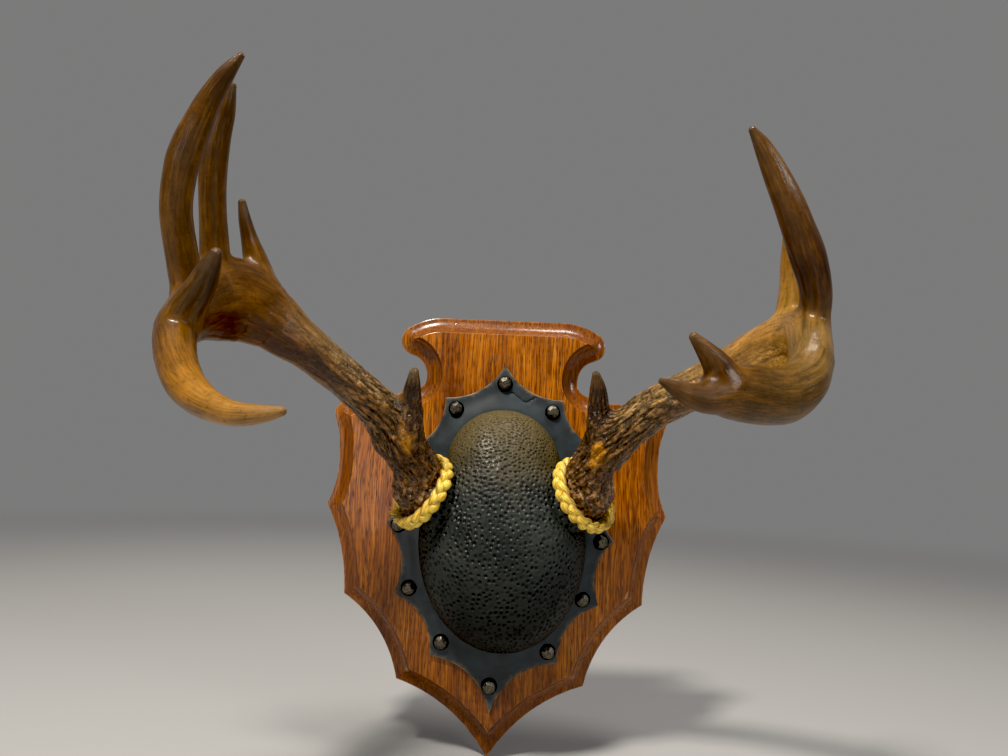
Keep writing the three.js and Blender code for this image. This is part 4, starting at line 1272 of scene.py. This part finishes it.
# ---------- finishes ----------
def oak_look():
    k = Look("oak_varnished")
    p = k.place()
    drift = k.noise(k.stretch(p, 1, 1, 0.35), 22, 2, out="Color")
    bent = k.vmath("ADD", p, k.vmath("SCALE", k.vmath("SUBTRACT", drift, (0.5, 0.5, 0.5)), scale=0.010))
    broad = k.noise(k.stretch(bent, 1, 1, 0.07), 75, 4, 0.55)
    streak = k.noise(k.stretch(bent, 1, 1, 0.035), 520, 4, 0.6)
    fine = k.noise(k.stretch(bent, 1, 1, 0.03), 1250, 2, 0.5)
    pore_cell = k.cells(k.stretch(bent, 1, 1, 0.11), 900)
    pore_on = k.span(k.noise(k.stretch(bent, 1, 1, 0.16), 330, 2), 0.37, 0.50)
    pore = k.math("MULTIPLY", k.span(pore_cell, 0.12, 0.40, 1, 0), pore_on)
    base = k.ramp(k.math("ADD", k.math("MULTIPLY", broad, 0.5), k.math("MULTIPLY", streak, 0.5)),
                  (0.36, srgb(108, 54, 5)), (0.46, srgb(142, 77, 8)), (0.55, srgb(168, 97, 13)), (0.66, srgb(194, 120, 26)))
    base = k.mix(k.span(fine, 0.44, 0.60, 0, 0.75), base, srgb(74, 29, 4))
    base = k.mix(k.math("MULTIPLY", pore, 0.9), base, srgb(38, 17, 7))
    # painted shade: the wood is painted darker towards the bottom of the board
    base = k.mix(k.span(k.node_z(p), -0.150, -0.055, 0.42, 0), base, srgb(54, 24, 5))
    # end grain and the machined cove take the stain darker
    face = k.span(k.node_y(p), -0.01900, -0.0184, 0, 1)
    base = k.mix(k.math("MULTIPLY", face, 0.35), base, srgb(92, 52, 22))
    wear_and_lit_top = k.span(k.node("NewGeometry").outputs["Pointiness"], 0.515, 0.56, 0, 1)
    wear_and_lit_top = k.math("MULTIPLY", wear_and_lit_top, k.span(k.noise(p, 210, 3), 0.42, 0.6))
    base = k.mix(k.math("MULTIPLY", wear_and_lit_top, 0.55), base, srgb(196, 142, 92))
    rough = k.math("ADD", k.span(k.noise(p, 60, 3), 0.3, 0.7, 0.26, 0.40), k.math("MULTIPLY", pore, 0.25))
    height = k.math("SUBTRACT", k.math("MULTIPLY", streak, 0.10), pore)
    grainy = k.math("SUBTRACT", k.noise(k.stretch(bent, 1, 1, 0.05), 300, 3), k.math("MULTIPLY", pore, 0.7))
    k.set(color=base, rough=rough, coat=0.55, coat_rough=0.13, ior=1.45, specular=0.25,
          normal=k.bump(height, 0.35, 0.00022), coat_normal=k.bump(grainy, 0.22, 0.00025))
    return k.mat


def node_y(self, v):
    n = self.node("SeparateXYZ")
    self.put(n.inputs[0], v)
    return n.outputs[1]


def node_z(self, v):
    n = self.node("SeparateXYZ")
    self.put(n.inputs[0], v)
    return n.outputs[2]


Look.node_y, Look.node_z = node_y, node_z


def cover_look(name, rough_lo, rough_hi, shine, coat):
    k = Look(name)
    p = k.place()
    pebble, pit, lobe = k.attr("pebble"), k.attr("pit"), k.attr("lobe")
    z = k.node_z(p)
    cloud = k.noise(p, 38, 4, 0.6)
    grain = k.noise(p, 900, 3, 0.6)
    # dust on the upper lobe, together with painted light: the top of the dome is painted lighter
    dust_and_top_light = k.span(k.math("ADD", z, k.math("MULTIPLY", cloud, 0.045)), 0.046, 0.112, 0, 1, smooth=True)
    black = k.mix(k.span(cloud, 0.35, 0.7), srgb(28, 32, 31), srgb(50, 54, 50))
    # painted shade: the dome is painted darker towards its bottom
    black = k.mix(k.span(z, -0.062, -0.008, 0.75, 0), black, srgb(12, 14, 13))
    dome_tone = k.mix(dust_and_top_light, black, k.mix(k.span(grain, 0.35, 0.65), srgb(72, 60, 32), srgb(102, 88, 52)))
    # painted shade: the dimples are painted dark
    dome_tone = k.mix(k.math("MULTIPLY", pit, 0.8), dome_tone, k.mix(k.math("MULTIPLY", dust_and_top_light, 0.4), srgb(5, 5, 5), srgb(60, 50, 28)))
    flat = k.mix(k.span(k.noise(p, 95, 4, 0.6), 0.35, 0.7), srgb(22, 30, 35), srgb(38, 50, 57))
    tone = k.mix(k.span(pebble, 0.05, 0.5), flat, dome_tone)
    wear = k.math("MULTIPLY", k.attr("edge"), k.span(k.noise(p, 160, 3), 0.38, 0.62))
    tone = k.mix(k.math("MULTIPLY", wear, 0.75), tone, srgb(146, 122, 88))
    rough = k.math("ADD", k.span(cloud, 0.3, 0.7, rough_lo, rough_hi), k.math("MULTIPLY", dust_and_top_light, 0.22))
    height = k.math("ADD", k.math("MULTIPLY", grain, 0.35), k.cells(p, 1150))
    bumped = k.bump(k.math("MULTIPLY", height, k.span(pebble, 0, 1, 0.06, 1)), 0.45, 0.00025)
    k.set(color=tone, rough=rough, specular=shine, coat=coat, coat_rough=0.2, normal=bumped)
    return k.mat


def pewter_look():
    k = Look("pewter_hammered")
    p = k.place()
    n = k.noise(p, 700, 3, 0.6)
    tone = k.mix(k.span(n, 0.35, 0.7), srgb(70, 66, 58), srgb(124, 119, 107))
    # painted shade: the head's outer edge is painted dark where it meets the flange
    tone = k.mix(k.span(k.attr("rim"), 0.1, 0.9), tone, srgb(26, 22, 19))
    k.set(color=tone, metal=0.9, rough=k.span(n, 0.3, 0.7, 0.30, 0.44), normal=k.bump(n, 0.25, 0.0002))
    return k.mat


def braid_look():
    k = Look("braid_gold")
    lie = k.node("Attribute", attribute_name="lie").outputs["Vector"]
    strands = k.noise(k.stretch(lie, 0.16, 1.0, 1.0), 2.2, 3, 0.6)
    blush = k.noise(k.place(), 190, 3, 0.6)
    tone = k.ramp(strands, (0.34, srgb(184, 124, 10)), (0.47, srgb(240, 190, 36)), (0.60, srgb(255, 236, 108)))
    tone = k.mix(k.span(blush, 0.52, 0.70, 0, 0.35), tone, srgb(214, 142, 22))
    # painted shade in the plait's crevices and along the lobes' edges
    tone = k.mix(k.math("MULTIPLY", k.attr("sunk_shade"), 0.95), tone, srgb(92, 48, 3))
    k.set(color=tone, rough=k.span(strands, 0.3, 0.7, 0.36, 0.24), specular=0.8, sheen=0.15, sheen_rough=0.35,
          normal=k.bump(strands, 0.9, 0.0007))
    return k.mat


def antler_look():
    k = Look("antler_lacquered")
    p = k.place()
    tone = k.node("Attribute", attribute_name="tone").outputs["Color"]
    rough_at, deep, raised, tine, ends, knot, gold, dusty = (
        k.attr(n) for n in ("rough", "deep", "raised", "tine", "ends", "knot", "gold", "dusty"))
    free = k.span(k.math("MAXIMUM", knot, gold), 0, 1, 1, 0.15)
    lies = [k.node("Attribute", attribute_name=n).outputs["Vector"] for n in ("lie_beam", "lie_tine")]

    def both(sx, sz, scale, detail=3, rough=0.55):
        a, b = (k.noise(k.stretch(v, sx, sx, sz), scale, detail, rough) for v in lies)
        n = k.node("Mix", data_type="FLOAT")
        k.put(n.inputs[0], k.span(tine, 0.3, 0.7))
        k.put(n.inputs[2], a)
        k.put(n.inputs[3], b)
        return n.outputs[0]

    streak = both(1, 0.12, 0.55, 4)
    fine = both(1, 0.07, 1.5, 3)
    cloud = k.noise(p, 60, 5, 0.62)
    blot = k.noise(p, 150, 4, 0.6, 0.6)
    speck = k.noise(p, 520, 2, 0.5)
    calm = k.math("MULTIPLY", k.span(rough_at, 0, 1, 0.8, 0.6), free)
    dark = k.mix(0.5, tone, srgb(26, 12, 3), "MULTIPLY")
    dark = k.mix(0.55, dark, srgb(24, 11, 3))
    light = k.mix(0.5, tone, srgb(206, 142, 36))
    col = k.mix(k.math("MULTIPLY", k.span(streak, 0.50, 0.68, 0, 0.6), calm), tone, dark)
    col = k.mix(k.math("MULTIPLY", k.span(streak, 0.47, 0.32, 0, 0.4), calm), col, light)
    col = k.mix(k.span(cloud, 0.50, 0.70, 0, 0.35), col, dark)
    col = k.mix(k.span(cloud, 0.47, 0.32, 0, 0.22), col, light)
    col = k.mix(k.span(blot, 0.54, 0.70, 0, 0.35), col, dark)
    col = k.mix(k.math("MULTIPLY", k.span(fine, 0.52, 0.70, 0, 0.5), k.math("MULTIPLY", k.span(rough_at, 0, 1, 0.9, 0.35), free)), col, srgb(30, 14, 4))
    col = k.mix(k.math("MULTIPLY", k.span(speck, 0.60, 0.72), 0.4), col, srgb(26, 13, 5))
    col = k.mix(k.math("MULTIPLY", raised, 0.55), col, k.mix(k.span(blot, 0.4, 0.6), srgb(200, 148, 80), srgb(140, 90, 40)))
    # painted shade in the grooves, between the beads and along the folds
    col = k.mix(k.math("MULTIPLY", deep, 0.88), col, srgb(18, 8, 2))
    col = k.mix(k.math("MULTIPLY", ends, 0.35), col, k.mix(k.span(cloud, 0.4, 0.6), srgb(104, 80, 54), srgb(52, 34, 20)))
    crag_cells = [k.cells(k.stretch(v, 1, 1, 0.5), 0.36) for v in lies]
    pick = k.node("Mix", data_type="FLOAT")
    k.put(pick.inputs[0], k.span(tine, 0.3, 0.7))
    k.put(pick.inputs[2], crag_cells[0])
    k.put(pick.inputs[3], crag_cells[1])
    crag = k.math("ADD", k.span(pick.outputs[0], 0.08, 0.62, 1, 0), k.math("MULTIPLY", k.span(both(1, 0.22, 0.9, 3, 0.6), 0.35, 0.65), 0.8))
    crag = k.math("MULTIPLY", crag, 0.56)
    lumps = k.span(k.noise(p, 330, 3, 0.55), 0.32, 0.68)
    blend = k.node("Mix", data_type="FLOAT")
    k.put(blend.inputs[0], knot)
    k.put(blend.inputs[2], crag)
    k.put(blend.inputs[3], lumps)
    crag = blend.outputs[0]
    in_bark = k.span(rough_at, 0.15, 0.85)
    # painted shade in the cracks between the bark's lumps
    col = k.mix(k.math("MULTIPLY", k.span(crag, 0.46, 0.26), k.math("MULTIPLY", in_bark, 0.7)), col, srgb(16, 7, 3))
    col = k.mix(k.math("MULTIPLY", k.span(crag, 0.60, 0.82), k.math("MULTIPLY", in_bark, 0.5)), col, k.mix(0.5, col, srgb(214, 160, 96)))
    col = k.mix(k.math("MULTIPLY", gold, 0.6), col, k.mix(k.span(cloud, 0.4, 0.6), srgb(212, 150, 40), srgb(160, 98, 22)))
    col = k.mix(k.math("MULTIPLY", dusty, 0.55), col, k.mix(k.span(blot, 0.4, 0.6), srgb(196, 164, 132), srgb(120, 88, 64)))
    col = k.mix(1.0, col, (1.0, 0.93, 0.68), "MULTIPLY")
    rough = k.math("ADD", k.span(fine, 0.3, 0.7, 0.34, 0.48), k.math("MULTIPLY", rough_at, 0.02))
    knob = k.span(k.noise(p, 560, 2, 0.5), 0.3, 0.7)
    height = k.math("ADD", k.math("MULTIPLY", fine, 0.25), k.math("MULTIPLY", k.math("ADD", crag, k.math("MULTIPLY", knob, 0.8)), k.span(rough_at, 0, 1, 0.02, 1.3)))
    k.set(color=col, rough=rough, coat=k.span(rough_at, 0.05, 0.7, 0.5, 1.0), coat_rough=0.09, ior=1.45, specular=0.2,
          normal=k.bump(height, 0.7, 0.0009), coat_normal=k.bump(height, 0.9, 0.0011))
    return k.mat


oak, pewter, braid, bone = oak_look(), pewter_look(), braid_look(), antler_look()
cover_grain = cover_look("cover_moulded", 0.38, 0.50, 0.26, 0.12)
cover_flat = cover_look("cover_flange", 0.32, 0.42, 0.5, 0.1)
finish_piece(board, oak, "oak", "board")
finish_piece(dome, cover_grain, "cover", "skull_cover")
finish_piece(flange, cover_flat, "cover", "skull_cover")
for ob, name in studs:
    finish_piece(ob, pewter, "stud", "stud_" + name)
for ob, side in ropes:
    finish_piece(ob, braid, "braid", "rope_" + side)
for ob, side in antlers:
    nodes = [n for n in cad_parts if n.startswith(f"antler_{side}_")]
    finish_piece(ob, bone, "antler", *sorted(nodes))

# ---------- floor, light ----------
floor_z = CAD_LO[2] - 0.0004
floor = bpy.data.objects.new("floor", bpy.data.meshes.new("floor"))
floor.data.from_pydata([(-30, -30, floor_z), (30, -30, floor_z), (30, 30, floor_z), (-30, 30, floor_z)], [], [(0, 1, 2, 3)])
scene.collection.objects.link(floor)
plain = Look("floor_pale")
plain.set(color=srgb(170, 169, 168), rough=0.9, specular=0.1)
far = plain.node("VectorMath", operation="LENGTH")
plain.put(far.inputs[0], plain.place())
glow = plain.node("Emission")
glow.inputs[0].default_value = (0.21, 0.208, 0.207, 1)
melt = plain.node("MixShader")
plain.put(melt.inputs[0], plain.span(far.outputs["Value"], 0.8, 2.6, 0, 1, smooth=True))
plain.put(melt.inputs[1], plain.p.outputs[0])
plain.put(melt.inputs[2], glow.outputs[0])
plain.put(next(n for n in plain.t.nodes if n.type == "OUTPUT_MATERIAL").inputs[0], melt.outputs[0])
floor.data.materials.append(plain.mat)

world = bpy.data.worlds.new("studio")
scene.world = world
world.use_nodes = True
world.node_tree.nodes["Background"].inputs[0].default_value = (0.21, 0.208, 0.207, 1)
world.node_tree.nodes["Background"].inputs[1].default_value = 1.0


def lamp(name, at, aim, size, watts, tint, mirrored=True):
    data = bpy.data.lights.new(name, "AREA")
    data.shape, data.size, data.energy, data.color = "DISK", size, watts, tint
    ob = bpy.data.objects.new(name, data)
    ob.location = at
    ob.rotation_mode = "QUATERNION"
    ob.rotation_quaternion = (Vector(aim) - Vector(at)).to_track_quat("-Z", "Y")
    ob.visible_camera = False
    ob.visible_glossy = mirrored
    scene.collection.objects.link(ob)


lamp("key", (-0.50, -1.00, 1.45), (0, -0.05, 0.02), 0.24, 36, (1.0, 0.94, 0.84))
lamp("side", (-0.62, -1.15, 0.05), (0, -0.05, 0.02), 0.52, 1.15, (1.0, 0.96, 0.93))
lamp("fill", (1.25, -1.10, 0.55), (0, -0.05, 0.02), 0.35, 4.8, (0.98, 0.98, 1.0))
lamp("top", (0.25, -0.35, 1.45), (0, -0.08, 0.05), 0.4, 10, (1.0, 0.96, 0.90))
lamp("back", (-0.5, 1.5, 0.9), (0, 0, 0.05), 0.9, 2.5, (1.0, 0.98, 0.96), mirrored=False)

scene.view_settings.view_transform = "Standard"
scene.view_settings.exposure = 0.0
scene.view_settings.use_curve_mapping = True
scene.view_settings.curve_mapping.black_level = (0.0135, 0.0133, 0.0130)
scene.view_settings.curve_mapping.update()
